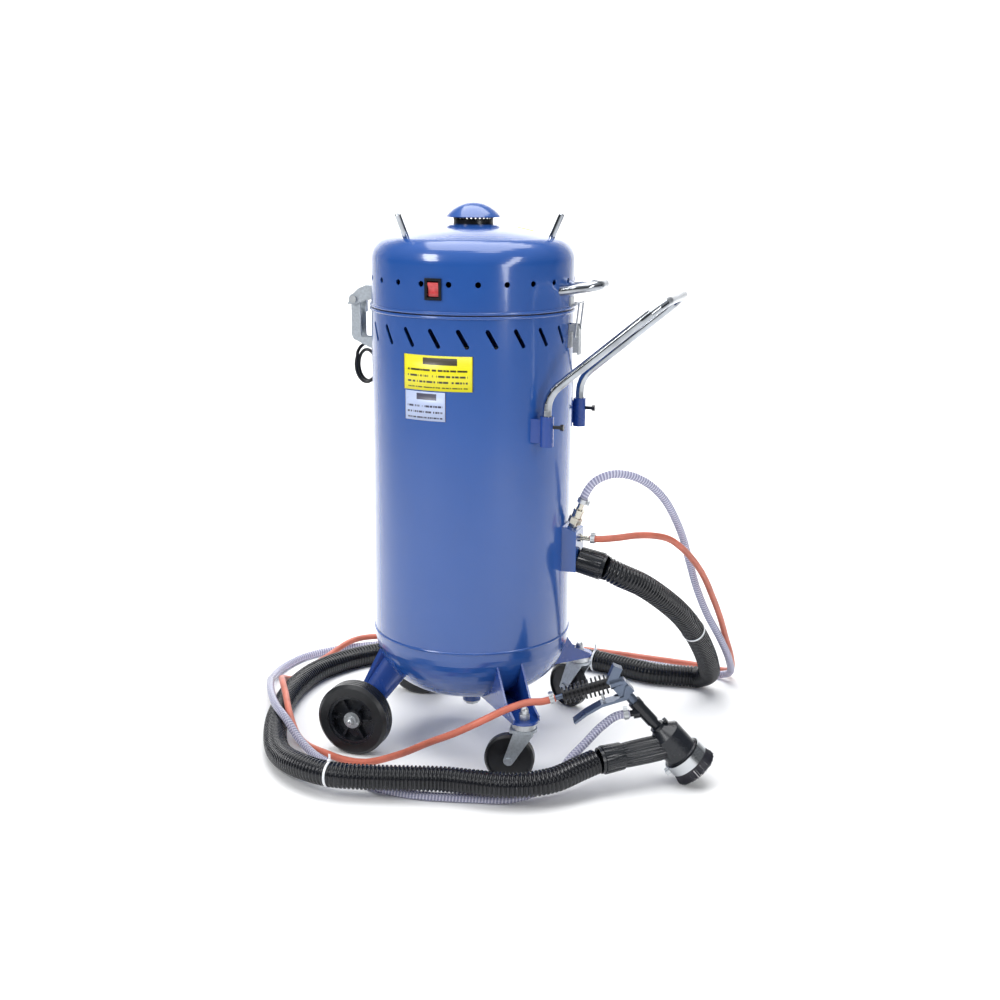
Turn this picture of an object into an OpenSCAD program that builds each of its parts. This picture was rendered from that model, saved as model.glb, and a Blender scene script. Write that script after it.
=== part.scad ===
// Portable abrasive blaster with vacuum recovery: a wheeled steel tank with a
// hinged lid that holds the vacuum motor, a push handle, a port box with three
// hoses, and a blast gun inside a recovery hood with a brush ring.
// Origin: on the floor, on the tank's axis. +X points to the push handle, +Z up.

/* [Tank] */
// Outside diameter of the tank and its lid
tank_d = 400; // [390:1:410]
// Thickness of the tank and lid steel
wall = 2.5; // [1.5:0.5:3]
// Height of the seam under the lid
seam_z = 899; // [890:1:910]
// Number of vent holes round the lid, and of slots round the tank
vent_count = 23; // [12:1:23]
// Height of the row of round holes in the lid
lid_hole_z = 957; // [945:1:970]
// Height of the middle of the row of slots
slot_z = 857; // [845:1:865]
// Length of one slot
slot_length = 41; // [30:1:44]

/* [Lid] */
// Height of the lid's crown
lid_top_z = 1061; // [1050:1:1070]
// Radius of the lid's shoulder
lid_shoulder_r = 48; // [40:1:60]
// Radius of the vent cap
vent_cap_r = 54; // [48:1:60]
// Diameter of the posts on the lid
post_d = 12; // [8:1:14]
// Width of the lid's grab handle
lid_handle_w = 96; // [80:2:110]

/* [Push handle] */
// Diameter of the handle tube
handle_d = 17; // [14:1:19]
// Distance between the handle's legs
handle_w = 232; // [200:2:240]
// Slope of the handle above the bend, in degrees
handle_slope = 40; // [30:1:50]

/* [Wheels] */
// Diameter of the fixed wheels
wheel_d = 150; // [140:2:156]
// Width of the fixed wheels' tyres
wheel_w = 42; // [36:1:46]
// Diameter of the swivel caster wheels
caster_d = 98; // [90:1:100]
// Distance from a caster's stem to its wheel's axle
caster_trail = 28; // [24:1:30]

/* [Hoses] */
// Diameter of the vacuum hose
vacuum_hose_d = 48; // [44:1:50]
// Diameter of the clear media hose
media_hose_d = 17; // [14:1:18]
// Diameter of the air hose
air_hose_d = 14; // [12:1:16]
// Diameter of the mains lead
lead_d = 7; // [6:0.5:8]

/* [Gun] */
// Angle of the gun's plane from the X axis, in degrees
gun_turn = 20; // [10:1:25]
// Distance of the gun's plane in front of the tank's axis
gun_offset = 257; // [255:1:265]

/* [Hidden] */
$fn = 64;

// Small allowances
run_gap = 0.05;
part_gap = 0.4;
cut = 1;

// Colours
paint = "royalblue";
zinc = "lightsteelblue";
chrome = "silver";
black = [0.1, 0.1, 0.11];
rubber = [0.13, 0.13, 0.14];

// Tank
tank_r = tank_d / 2;
tank_top_z = seam_z - 3;
weld_z = 244.5;
dish_z = 238;
dish_bottom_z = 108;
dish_corner_r = 120;
bead_r = 2.5;
drain_r = 19;
drain_z = 74;

// Lid
lid_bottom_z = seam_z + 2;
lid_shoulder_z = 990;
post_base_r = 160;
post_lean = 24;
post_length = 52;
vent_hole_r = 5.5;
slot_w = 8.5;
collar_r = 39;
collar_base_z = lid_top_z - 6;
cap_rim_z = lid_top_z + 12;
cap_top_z = lid_top_z + 40;

// Switch
switch_angle = -92;
switch_z = 948;
switch_w = 33;
switch_h = 40;
rocker_tilt = 11;

// Hinge
pin_x = -248;
pin_z = 905;
pin_r = 4;
bracket_half_w = 15;
leaf_half_w = 20;
plate_t = 3;

// Latch
latch_x = 212;
latch_z = 866;
latch_pin_r = 2.5;
latch_pin_half = 13.8;
keeper_z = 908;
loop_top_x = 221;
loop_off = 2;
loop_drop = 16;
loop_top_z = 915;
loop_half_w = 16;
loop_r = 2;

// Push handle
socket_x = 190;
socket_r = 13;
socket_low_z = 652;
socket_high_z = 710;
handle_bend_r = 60;
handle_bend_z = 722;
handle_end_x = 405;
handle_corner_r = 50;
leg_low_z = 656;

// Port box
port_x = 228;
port_half_w = 28;
port_low_z = 382;
port_high_z = 464;
port_top_slope = 20;
duct_r = 19;
duct_z = 402;
duct_slope = 12;
media_fit_x = 213;
air_fit_z = 447;
plug_r = 4.9;
media_base_z = port_high_z + tan(port_top_slope) * (port_x - media_fit_x);

// Wheels
axle_x = -188;
wheel_y = 178;
axle_r = 10;
hub_r = 51;
caster_x = 179;
caster_y = 200;
near_caster_turn = 10;
far_caster_turn = -25;
caster_w = 24;
stem_r = 6;
caster_axle_r = 4;
leg_plate_z = 126;
leg_plate_t = 5;
leg_w = 56;

// Gun, in its own plane: x to the right, z up
gun_axis_x = 298;
gun_axis_z = 183;
gun_axis_fall = 48;
hood_r = 34;
hood_duct_s = 138;
elbow_fall = 5;
elbow_turn = 17;
grip_x = 173;
grip_z = 181;
grip_rise = 16.8;
pivot_x = 296;
pivot_z = 202;
stem_x = 252;
stem_z = 172.5;
valve_r = 3;
valve_bore = 26;
neck_r = 9.5;

// Hanging coil of the mains lead
coil_x = -229;
coil_z = 769.5;
coil_half_w = 22;
coil_half_h = 34;
plug_x = -220;
plug_y = 62;
plug_z = 736;

// Point of the coil, from its start at t = 0 to its end at t = 1
function coil_point(t) = let (a = 150 + 600 * t) [
    coil_x + (coil_half_w - 4 * t) * cos(a), -8 + 16 * t, coil_z + (coil_half_h - 3 * t) * sin(a)
];

// Routes of the free hoses and the lead
vacuum_route = [
    [283, 0, 390], [310, 12, 374], [345, 48, 348], [378, 98, 308], [406, 160, 258],
    [424, 225, 202], [434, 290, 144], [438, 350, 88], [432, 396, 44], [402, 416, 24],
    [355, 412, 24], [300, 408, 24], [239, 422, 24], [154, 444, 24], [40, 452, 24],
    [-90, 438, 24], [-220, 402, 24], [-320, 345, 24], [-393, 262, 24], [-434, 165, 24],
    [-438, 60, 24], [-414, -60, 24], [-372, -175, 24], [-308, -285, 26], [-232, -352, 38],
    [-150, -380, 43], [-75, -368, 43], [0, -346, 43], [60, -329, 43], [115, -323, 43],
    [170, -319, 44], [220, -304, 46], [264, -274, 50], [299, -233, 59], [323, -206, 65.5]
];
media_route = [
    [230.9, 0, 518.8], [239, 3, 541], [254, 10, 562], [282, 26, 575], [313, 50, 571],
    [345, 84, 549], [371, 122, 511], [388, 164, 460], [398, 207, 407], [406, 251, 342],
    [416, 297, 272], [434, 340, 202], [460, 382, 132], [474, 424, 72], [470, 466, 26],
    [436, 488, 9], [365, 494, 9], [240, 506, 9], [111, 512, 9], [-80, 500, 9],
    [-250, 470, 9], [-380, 420, 9], [-470, 350, 9], [-525, 270, 9], [-538, 180, 10],
    [-520, 100, 20], [-482, 15, 45], [-436, -70, 58], [-388, -140, 59], [-342, -183, 51],
    [-300, -210, 24], [-255, -238, 10], [-205, -268, 9], [-140, -305, 9], [-70, -338, 9],
    [5, -344, 9], [65, -334, 9], [125, -319, 9], [184, -303, 10],
    [225, -268, 16], [256, -240, 34], [272, -212, 62], [298, -184, 92], [322, -162, 119],
    [349.3, -146.4, 139.9], [372.4, -137.9, 144.2]
];
air_route = [
    [249, 0, 447], [270, 4, 447], [300, 26, 447], [330, 55, 447], [358, 88, 441],
    [384, 124, 427], [405, 160, 400], [424, 206, 360], [438, 250, 316], [448, 300, 262],
    [458, 360, 196], [466, 410, 130], [474, 452, 70], [468, 496, 24], [440, 526, 7.5],
    [380, 540, 7.5], [270, 548, 7.5], [124, 554, 7.5], [-80, 544, 7.5], [-250, 510, 8],
    [-340, 470, 17], [-420, 410, 26], [-446, 362, 27], [-468, 290, 14], [-482, 210, 7.5],
    [-484, 130, 10], [-476, 62, 36], [-442, -5, 59], [-398, -75, 57], [-358, -138, 46],
    [-320, -178, 17], [-285, -200, 7.5], [-235, -222, 7.5], [-188, -238, 7.5], [-133, -248, 14],
    [-60, -254, 44], [6, -262, 82], [62, -268, 112], [111, -262, 140], [155, -240, 162],
    [190, -210, 170], [214.6, -195.4, 169.5], [237, -187.2, 176.7]
];
lead_route = [
    [-209, 43, 826], [-221, 46, 825], [-231, 46, 818], [-238, 34, 815], [-243, 20, 811],
    [-246, 6, 806], [-248, -4, 797], coil_point(0)
];
coil_route = concat([for (i = [0:36]) coil_point(i / 36)], [
    [-212, 12, 797], [-215, 22, 804], [-218, 36, 808], [-220, 50, 806], [-220, 60, 797],
    [-220, 62, 784]
]);
tie_rings = [5, 13, 17, 25];

// ---------------------------------------------------------------- helpers

// Points of an arc in the plane, from angle a to angle b in n steps
function arc_points(c, r, a, b, n) = [
    for (i = [0:n]) let (t = a + (b - a) * i / n) [c[0] + r * cos(t), c[1] + r * sin(t)]
];

function reversed(list) = [for (i = [len(list) - 1:-1:0]) list[i]];

// Crown radius that meets a corner arc smoothly. rise is from the corner's centre height
function crown_radius(r, corner, rise) =
    (pow(r - corner, 2) + rise * rise - corner * corner) / (2 * (rise - corner));

// Half outline of a dished end, from the wall to the axis
function dished_end(r, corner, base_z, rise, dir) =
    let (
        crown = crown_radius(r, corner, rise),
        low = rise - crown,
        meet = atan2(-low, r - corner)
    ) concat(
        [for (p = arc_points([r - corner, 0], corner, 0, meet, 14)) [p[0], base_z + dir * p[1]]],
        [for (p = arc_points([0, low], crown, meet, 90, 14)) [p[0], base_z + dir * p[1]]]
    );

module disc(r, h, z = 0) {
    translate([0, 0, z])
        cylinder(r = r, h = h);
}

module tube(outer, inner, h, z = 0) {
    translate([0, 0, z])
        difference() {
            cylinder(r = outer, h = h);
            translate([0, 0, -cut])
                cylinder(r = inner, h = h + 2 * cut);
        }
}

module hexagon(across, h, z = 0) {
    translate([0, 0, z])
        cylinder(d = across / cos(30), h = h, $fn = 6);
}

// A box centred on the Z axis in x and y, standing on z
module post_box(x, y, h, z = 0) {
    translate([-x / 2, -y / 2, z])
        cube([x, y, h]);
}

// Children, with their Z axis turned to point along the row's X axis
module along_x(fall = 0) {
    rotate([0, 90 + fall, 0])
        children();
}

module along_y() {
    rotate([-90, 0, 0])
        children();
}

// Round bar through a list of points, with a ball at each inner point
module bar(points, r) {
    for (i = [0:len(points) - 2])
        bar_piece(points[i], points[i + 1], r);
    for (i = [1:len(points) - 2])
        translate(points[i])
            sphere(r = r + 0.1);
}

module bar_piece(a, b, r) {
    d = b - a;
    translate(a)
        rotate([0, acos(d[2] / norm(d)), atan2(d[1], d[0])])
            cylinder(r = r, h = norm(d));
}

function unit(v) = v / norm(v);

// Direction of a route at point i
function heading(p, i) = unit(p[min(i + 1, len(p) - 1)] - p[max(i - 1, 0)]);

// A direction square to the route at each point, carried along without twist
function sides_along(p, side, i = 0) =
    let (t = heading(p, i), s = unit(side - t * (side * t)))
        i == len(p) - 1 ? [s] : concat([s], sides_along(p, s, i + 1));

function first_side(p) = let (t = heading(p, 0)) cross(t, abs(t[1]) > 0.9 ? [0, 0, 1] : [0, 1, 0]);

// One ring of a tube's skin
function ring(at, t, side, r, n) =
    let (up = cross(t, side)) [for (k = [0:n - 1]) at + r * (cos(360 * k / n) * side + sin(360 * k / n) * up)];

// A tube swept along a route, as one closed skin
module hose(p, d, n) {
    sides = sides_along(p, first_side(p));
    rings = [for (i = [0:len(p) - 1]) each ring(p[i], heading(p, i), sides[i], d / 2, n)];
    last = (len(p) - 1) * n;
    skin = [
        for (i = [0:len(p) - 2], k = [0:n - 1])
            let (a = i * n + k, b = i * n + (k + 1) % n) [a, b, b + n, a + n]
    ];
    polyhedron(
        points = rings,
        faces = concat(
            [[for (k = [n - 1:-1:0]) k]],
            [[for (k = [0:n - 1]) last + k]],
            skin
        ),
        convexity = 10
    );
}

// Children placed on the tank's wall: X across, Y inward, Z up
module on_wall(angle, z, r = tank_r) {
    rotate([0, 0, angle + 90])
        translate([0, -r, z])
            children();
}

// ---------------------------------------------------------------- tank

function tank_outline(inset) = let (r = tank_r - inset) concat(
    [[r, tank_top_z]],
    inset > 0 ? [] : arc_points([r, weld_z], bead_r, 90, -90, 8),
    dished_end(r, dish_corner_r - inset, dish_z, dish_z - dish_bottom_z - inset, -1)
);

module slot_cutter() {
    rotate([90, 0, 0])
        rotate([0, 0, 30])
            union() {
                post_box(slot_w, slot_length - slot_w, 30, -15);
                for (s = [-1, 1])
                    translate([0, s * (slot_length - slot_w) / 2, -15])
                        cylinder(d = slot_w, h = 30);
            }
}

module tank_shell() {
    color(paint)
        difference() {
            union() {
                rotate_extrude($fn = 96)
                    polygon(concat(tank_outline(0), reversed(tank_outline(wall))));
                tube(drain_r, drain_r - 4, dish_bottom_z + 3 - drain_z, drain_z);
            }
            disc(drain_r - 4, 40, drain_z - cut);
            for (i = [0:vent_count - 1])
                on_wall(-76 + i * 360 / vent_count, slot_z)
                    slot_cutter();
            translate([tank_r - 20, 0, duct_z])
                along_x()
                    cylinder(r = duct_r, h = 30);
        }
}

module drain_plug() {
    color(zinc) {
        hexagon(24, 9, drain_z - 8);
        disc(drain_r - 1, 3, drain_z - 3 - run_gap);
        disc(drain_r - 4 - run_gap, 16, drain_z);
    }
}

// The space inside the tank's or the lid's wall, to cut parts to its curve
module wall_space(z, h) {
    translate([0, 0, z])
        cylinder(r = tank_r, h = h, $fn = 360);
}

module wheel_leg() {
    difference() {
        union() {
            translate([axle_x, wheel_y - 34, wheel_d / 2])
                along_y()
                    cylinder(r = 22, h = 8);
            hull() {
                translate([axle_x, wheel_y - 34, wheel_d / 2])
                    along_y()
                        cylinder(r = 22, h = 8, $fn = 32);
                translate([-128, 104, 168])
                    along_y()
                        cylinder(r = 30, h = 8, $fn = 32);
            }
            hull() {
                translate([axle_x - 18, wheel_y - 44, wheel_d / 2 + 12])
                    cube([8, 12, 8]);
                translate([-158, 76, 180])
                    cube([8, 32, 30]);
            }
        }
        disc(tank_r + bead_r, 60, dish_z);
        dish_space();
    }
}

// The space that the dished bottom fills, which the legs are cut to
module dish_space() {
    rotate_extrude($fn = 96)
        polygon(concat(
            dished_end(tank_r, dish_corner_r, dish_z, dish_z - dish_bottom_z, -1),
            [[0, dish_z + 40], [tank_r, dish_z + 40]]
        ));
}

module caster_leg() {
    stem_reach = norm([caster_x, caster_y]);
    difference() {
        rotate([0, 0, atan2(caster_y, caster_x)])
            union() {
                translate([110, -leg_w / 2, leg_plate_z])
                    cube([stem_reach - 110, leg_w, leg_plate_t]);
                translate([stem_reach, 0, leg_plate_z])
                    cylinder(r = leg_w / 2, h = leg_plate_t);
                for (s = [-1, 1])
                    translate([0, s * (leg_w / 2 - 2) + 2, 0])
                        rotate([90, 0, 0])
                            linear_extrude(4)
                                polygon([
                                    [110, leg_plate_z], [stem_reach + 10, leg_plate_z],
                                    [stem_reach + 10, leg_plate_z + 10], [stem_reach - 30, leg_plate_z + 30],
                                    [196, 215], [150, 215]
                                ]);
            }
        dish_space();
        translate([caster_x, caster_y, 0])
            disc(stem_r + run_gap, 200);
    }
}

module tank_legs() {
    color(paint)
        for (s = [0, 1])
            mirror([0, s, 0]) {
                wheel_leg();
                caster_leg();
            }
}

module wheel_axle() {
    translate([axle_x, 0, wheel_d / 2])
        along_y() {
            disc(axle_r, wheel_w + 6, wheel_y - wheel_w / 2 - 5);
            tube(axle_r + 7, axle_r, 2.5, wheel_y + wheel_w / 2 - 4);
            translate([0, 0, wheel_y + wheel_w / 2])
                rotate([0, 90, 25])
                    cylinder(r = 2, h = 30, center = true);
        }
}

module wheel_axles() {
    color(zinc)
        for (s = [0, 1])
            mirror([0, s, 0])
                wheel_axle();
}

module tyre() {
    groove = 2;
    color(rubber)
        rotate_extrude($fn = 96)
            difference() {
                translate([hub_r, -wheel_w / 2])
                    square([wheel_d / 2 - hub_r, wheel_w]);
                for (y = [-wheel_w / 2, wheel_w / 2])
                    translate([wheel_d / 2, y])
                        rotate([0, 0, 45])
                            square(9, center = true);
                for (y = [-8, 0, 8])
                    translate([wheel_d / 2, y])
                        square([groove * 2, groove], center = true);
            }
}

module hub() {
    rim_t = 6;
    web_t = 8;
    spokes = 6;
    color(black)
        difference() {
            union() {
                tube(hub_r, hub_r - rim_t, wheel_w - 6, -wheel_w / 2 + 3);
                tube(20, axle_r + run_gap, wheel_w - 10, -wheel_w / 2 + 5);
                disc(hub_r - 1, web_t, -web_t / 2);
                for (i = [0:spokes - 1])
                    rotate([0, 0, i * 360 / spokes])
                        translate([12, -2, -13])
                            cube([hub_r - 14, 4, 26]);
            }
            disc(axle_r + run_gap, wheel_w, -wheel_w / 2);
        }
}

module at_wheel(side) {
    translate([axle_x, side * wheel_y, wheel_d / 2])
        rotate([-90, 0, 0])
            children();
}

module left_tyre() {
    at_wheel(-1)
        tyre();
}

module left_hub() {
    at_wheel(-1)
        hub();
}

module right_tyre() {
    at_wheel(1)
        tyre();
}

module right_hub() {
    at_wheel(1)
        hub();
}

// ---------------------------------------------------------------- casters

fork_top_z = 113;
fork_half_w = 19;

module caster_stems() {
    color(zinc)
        for (s = [-1, 1])
            translate([caster_x, s * caster_y, 0]) {
                disc(stem_r, 44, 102);
                disc(11, 5, 101.5);
                disc(23, leg_plate_z - fork_top_z - part_gap, fork_top_z + part_gap);
                hexagon(19, 11, leg_plate_z + leg_plate_t);
                disc(8, 6, leg_plate_z + leg_plate_t + 11);
                translate([0, 0, leg_plate_z + leg_plate_t + 17])
                    sphere(r = 8);
            }
}

module caster_fork() {
    axle_z = caster_d / 2;
    color(zinc) {
        difference() {
            union() {
                disc(25, 6, fork_top_z - 6);
                hull() {
                    disc(fork_half_w + 3, 6, fork_top_z - 6, $fn = 32);
                    translate([-caster_trail * 0.6, 0, fork_top_z - 6])
                        post_box(20, 2 * fork_half_w, 6);
                }
                for (s = [-1, 1])
                    hull() {
                        translate([-18, s * (fork_half_w - 1.5) - 1.5, fork_top_z - 8])
                            cube([38, 3, 6]);
                        translate([-caster_trail, s * (fork_half_w - 1.5) - 1.5, axle_z])
                            along_y()
                                cylinder(r = 10, h = 3, $fn = 32);
                    }
            }
            disc(stem_r + run_gap, 60, 90);
            disc(13, 10, fork_top_z - 16);
        }
        translate([-caster_trail, -fork_half_w - 3, axle_z])
            along_y() {
                cylinder(r = caster_axle_r, h = 2 * fork_half_w + 6);
                hexagon(13, 5, -1);
                hexagon(13, 5, 2 * fork_half_w + 2);
            }
    }
}

module caster_wheel() {
    color(rubber)
        translate([-caster_trail, 0, caster_d / 2])
            rotate([90, 0, 0])
                rotate_extrude($fn = 96)
                    difference() {
                        translate([caster_axle_r + run_gap, -caster_w / 2])
                            square([caster_d / 2 - caster_axle_r - run_gap, caster_w]);
                        for (s = [-1, 1]) {
                            translate([(caster_d / 2 + 12) / 2, s * caster_w / 2])
                                square([caster_d / 2 - 24, 8], center = true);
                            translate([caster_d / 2, s * caster_w / 2])
                                rotate([0, 0, 45])
                                    square(6, center = true);
                        }
                    }
}

module at_caster(side, turn) {
    translate([caster_x, side * caster_y, 0])
        rotate([0, 0, turn])
            children();
}

module near_caster_fork() {
    at_caster(-1, near_caster_turn)
        caster_fork();
}

module near_caster_wheel() {
    at_caster(-1, near_caster_turn)
        caster_wheel();
}

module far_caster_fork() {
    at_caster(1, far_caster_turn)
        caster_fork();
}

module far_caster_wheel() {
    at_caster(1, far_caster_turn)
        caster_wheel();
}

// ---------------------------------------------------------------- push handle

module handle_sockets() {
    gap_x = socket_x - socket_r;
    color(paint)
        for (s = [-1, 1])
            difference() {
                union() {
                    translate([socket_x, s * handle_w / 2, 0])
                        disc(socket_r, socket_high_z - socket_low_z, socket_low_z);
                    translate([gap_x - 20, s * handle_w / 2 - 5, socket_low_z + 6])
                        cube([26, 10, socket_high_z - socket_low_z - 12]);
                }
                wall_space(socket_low_z - 10, 100);
                translate([socket_x, s * handle_w / 2, 0])
                    disc(handle_d / 2 + run_gap, 80, socket_low_z - 10);
                translate([socket_x, s * handle_w / 2, bolt_z])
                    along_x()
                        cylinder(r = bolt_r, h = 30);
            }
}

bolt_z = 690;
bolt_r = 3.5;

module socket_bolts() {
    reach = handle_d / 2 + part_gap;
    color(black)
        for (s = [-1, 1])
            translate([socket_x, s * handle_w / 2, bolt_z])
                along_x() {
                    disc(bolt_r, 20, reach);
                    hexagon(11, 6, reach + 18);
                }
}

// Centre line of one side of the handle: up the leg, round the bend, up the slope, round the corner
function handle_side(side) = let (
    half = handle_w / 2,
    turn = 90 - handle_slope,
    bend_x = socket_x + handle_bend_r * (1 - cos(turn)),
    bend_z = handle_bend_z + handle_bend_r * sin(turn),
    reach = (handle_end_x - bend_x) / cos(handle_slope) - handle_corner_r,
    steps = 4
) concat(
    [[socket_x, side * half, leg_low_z]],
    [for (k = [0:steps]) let (t = turn * k / steps)
        [socket_x + handle_bend_r * (1 - cos(t)), side * half, handle_bend_z + handle_bend_r * sin(t)]],
    [for (k = [0:steps]) let (t = 90 * k / steps, u = reach + handle_corner_r * sin(t))
        [bend_x + u * cos(handle_slope), side * (half - handle_corner_r * (1 - cos(t))), bend_z + u * sin(handle_slope)]]
);

module push_handle() {
    color(chrome)
        bar(concat(handle_side(-1), reversed(handle_side(1))), handle_d / 2);
}

// ---------------------------------------------------------------- hinge

// Side outline of the fixed bracket, in x and z
module bracket_side() {
    polygon([
        [-tank_r + 2, 828], [-234, 829], [-236, 834], [-236, pin_z], [-256, pin_z],
        [-256, 832], [-252, 824], [-tank_r + 2, 800]
    ]);
    translate([(-256 - 236) / 2, pin_z])
        circle(r = 10);
}

module across(half_w, t) {
    for (s = [-1, 1])
        translate([0, s * (half_w - t / 2) + t / 2, 0])
            rotate([90, 0, 0])
                linear_extrude(t)
                    children();
}

module hinge_bracket() {
    color("darkgray")
        difference() {
            union() {
                across(bracket_half_w, plate_t)
                    bracket_side();
                translate([-256, -bracket_half_w, 832])
                    cube([plate_t, 2 * bracket_half_w, 44]);
                translate([-tank_r - 2, -bracket_half_w, 800])
                    cube([plate_t, 2 * bracket_half_w, 28]);
            }
            wall_space(780, 120);
            translate([pin_x, -40, pin_z])
                along_y()
                    cylinder(r = pin_r, h = 80);
        }
}

module hinge_pin() {
    color(zinc)
        translate([pin_x, -leaf_half_w - 4, pin_z])
            along_y() {
                cylinder(r = pin_r, h = 2 * leaf_half_w + 8);
                disc(7, 3, -0.5);
                disc(7, 3, 2 * leaf_half_w + 5.5);
            }
}

// Side outline of the lid's hinge leaf
module leaf_side() {
    difference() {
        union() {
            polygon([
                [-tank_r + 2, 932], [-222, 934], [-238, 927], [-250, 916], [-263, 894],
                [-244, 896], [-tank_r + 2, 912]
            ]);
            translate([pin_x, pin_z])
                circle(r = 11);
        }
        translate([pin_x, pin_z])
            circle(r = pin_r + run_gap);
    }
}

module hinge_leaf() {
    web_t = 3;
    color("darkgray")
        difference() {
            union() {
                across(leaf_half_w, plate_t)
                    leaf_side();
                translate([0, leaf_half_w, 0])
                    rotate([90, 0, 0])
                        linear_extrude(2 * leaf_half_w)
                            polygon([
                                [-tank_r + 2, 932], [-222, 934], [-238, 927], [-245, 921],
                                [-243, 918], [-237, 923.5], [-222, 930], [-tank_r + 2, 928]
                            ]);
                translate([-232, -5, 879])
                    cube([4, 10, 34]);
                translate([-230, -5, 908])
                    cube([34, 10, 5]);
            }
            wall_space(890, 60);
        }
}

// ---------------------------------------------------------------- latch

module latch_base() {
    color(zinc)
        difference() {
            union() {
                translate([tank_r - 4, -14, 828])
                    cube([8, 28, 34]);
                for (s = [-1, 1])
                    translate([tank_r, s * 12 - 1.5, latch_z - 8])
                        cube([17, 3, 15]);
            }
            wall_space(820, 60);
            translate([latch_x, -20, latch_z])
                along_y()
                    cylinder(r = latch_pin_r, h = 40);
        }
    color(zinc)
        translate([latch_x, -latch_pin_half, latch_z])
            along_y()
                cylinder(r = latch_pin_r, h = 2 * latch_pin_half);
}

module latch_lever() {
    color(zinc)
        difference() {
            union() {
                for (s = [-1, 1])
                    translate([latch_x - 4, s * 8.5 - 1.5, latch_z - 48])
                        cube([12, 3, 52]);
                translate([latch_x + 5, -10, latch_z - 52])
                    cube([3, 20, 50]);
            }
            translate([latch_x, -20, latch_z])
                along_y()
                    cylinder(r = latch_pin_r + run_gap, h = 40);
            translate([latch_x + loop_off, -20, latch_z - loop_drop])
                along_y()
                    cylinder(r = loop_r + run_gap, h = 40);
        }
}

module latch_loop() {
    low = [latch_x + loop_off, latch_z - loop_drop];
    color(zinc) {
        bar([
            [low[0], -5, low[1]], [low[0], -loop_half_w, low[1]], [loop_top_x, -loop_half_w, loop_top_z],
            [loop_top_x, loop_half_w, loop_top_z], [low[0], loop_half_w, low[1]], [low[0], 5, low[1]]
        ], loop_r);
    }
}

module latch_keeper() {
    color(zinc)
        difference() {
            union() {
                translate([tank_r - 4, -13, keeper_z])
                    cube([7, 26, 18]);
                translate([tank_r, -9, keeper_z])
                    cube([12, 18, 3]);
                translate([tank_r + 9.5, -9, keeper_z])
                    cube([2.5, 18, 8]);
            }
            wall_space(880, 60);
        }
}

// ---------------------------------------------------------------- lid

function lid_outline(inset) = let (r = tank_r - inset) concat(
    [[r, lid_bottom_z]],
    inset > 0 ? [] : arc_points([r, lid_bottom_z + 3], 3, -90, 90, 8),
    dished_end(r, lid_shoulder_r - inset, lid_shoulder_z, lid_top_z - lid_shoulder_z - inset, 1)
);

module lid_shell() {
    color(paint)
        difference() {
            rotate_extrude($fn = 96)
                polygon(concat(lid_outline(0), reversed(lid_outline(wall))));
            for (i = [0:vent_count - 1])
                on_wall(-83.5 + i * 360 / vent_count, lid_hole_z)
                    along_y()
                        cylinder(r = vent_hole_r, h = 30, center = true);
            on_wall(switch_angle, switch_z)
                translate([-switch_w / 2 + 3, -5, -switch_h / 2 + 3])
                    cube([switch_w - 6, 20, switch_h - 6]);
            disc(collar_r - 5, 60, lid_top_z - 30);
        }
}

module vent_collar() {
    holes = 28;
    color(black)
        difference() {
            tube(collar_r, collar_r - 2, cap_rim_z - collar_base_z + 3, collar_base_z - 3);
            for (i = [0:holes - 1])
                rotate([0, 0, i * 360 / holes])
                    translate([collar_r - 6, 0, cap_rim_z - 4])
                        along_x()
                            cylinder(r = 2.6, h = 12);
            under_lid();
        }
}

// The space under the lid's skin, which the collar is cut to
module under_lid() {
    rotate_extrude($fn = 96)
        polygon(concat(
            dished_end(tank_r, lid_shoulder_r, lid_shoulder_z, lid_top_z - lid_shoulder_z, 1),
            [[0, lid_shoulder_z - 40], [tank_r, lid_shoulder_z - 40]]
        ));
}

module vent_cap() {
    rise = cap_top_z - cap_rim_z;
    ball = (vent_cap_r * vent_cap_r + rise * rise) / (2 * rise);
    edge = asin(vent_cap_r / ball);
    outer = arc_points([0, cap_top_z - ball], ball, 90 - edge, 90, 16);
    inner = arc_points([0, cap_top_z - ball], ball - 2, 90, 90 - edge, 16);
    color(paint) {
        rotate_extrude($fn = 96)
            polygon(concat(outer, inner));
        tube(collar_r - 2, collar_r - 6, 9, cap_rim_z);
    }
}

module hose_posts() {
    color(chrome)
        difference() {
            for (i = [0:2])
                rotate([0, 0, -2 + i * 120])
                    translate([post_base_r, 0, 1034])
                        rotate([0, post_lean, 0]) {
                            cylinder(d = post_d, h = post_length - 2);
                            translate([0, 0, post_length - 2])
                                cylinder(d1 = post_d, d2 = post_d - 3, h = 2);
                        }
            under_lid();
        }
}

module lid_handle() {
    r = 9.5;
    corner = 36;
    reach = 66;
    half = lid_handle_w / 2;
    color(chrome)
        difference() {
            translate([tank_r - 4, 0, 940])
                rotate([0, -9, 0]) {
                    for (s = [-1, 1]) {
                        translate([-12, s * half, 0])
                            along_x()
                                cylinder(r = r, h = reach - corner + 12);
                        translate([reach - corner, s * (half - corner), 0])
                            rotate([0, 0, s > 0 ? 0 : -90])
                                rotate_extrude(angle = 90)
                                    translate([corner, 0])
                                        circle(r = r);
                    }
                    translate([reach, -half + corner, 0])
                        along_y()
                            cylinder(r = r, h = 2 * (half - corner));
                }
            wall_space(890, 120);
        }
}

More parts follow.
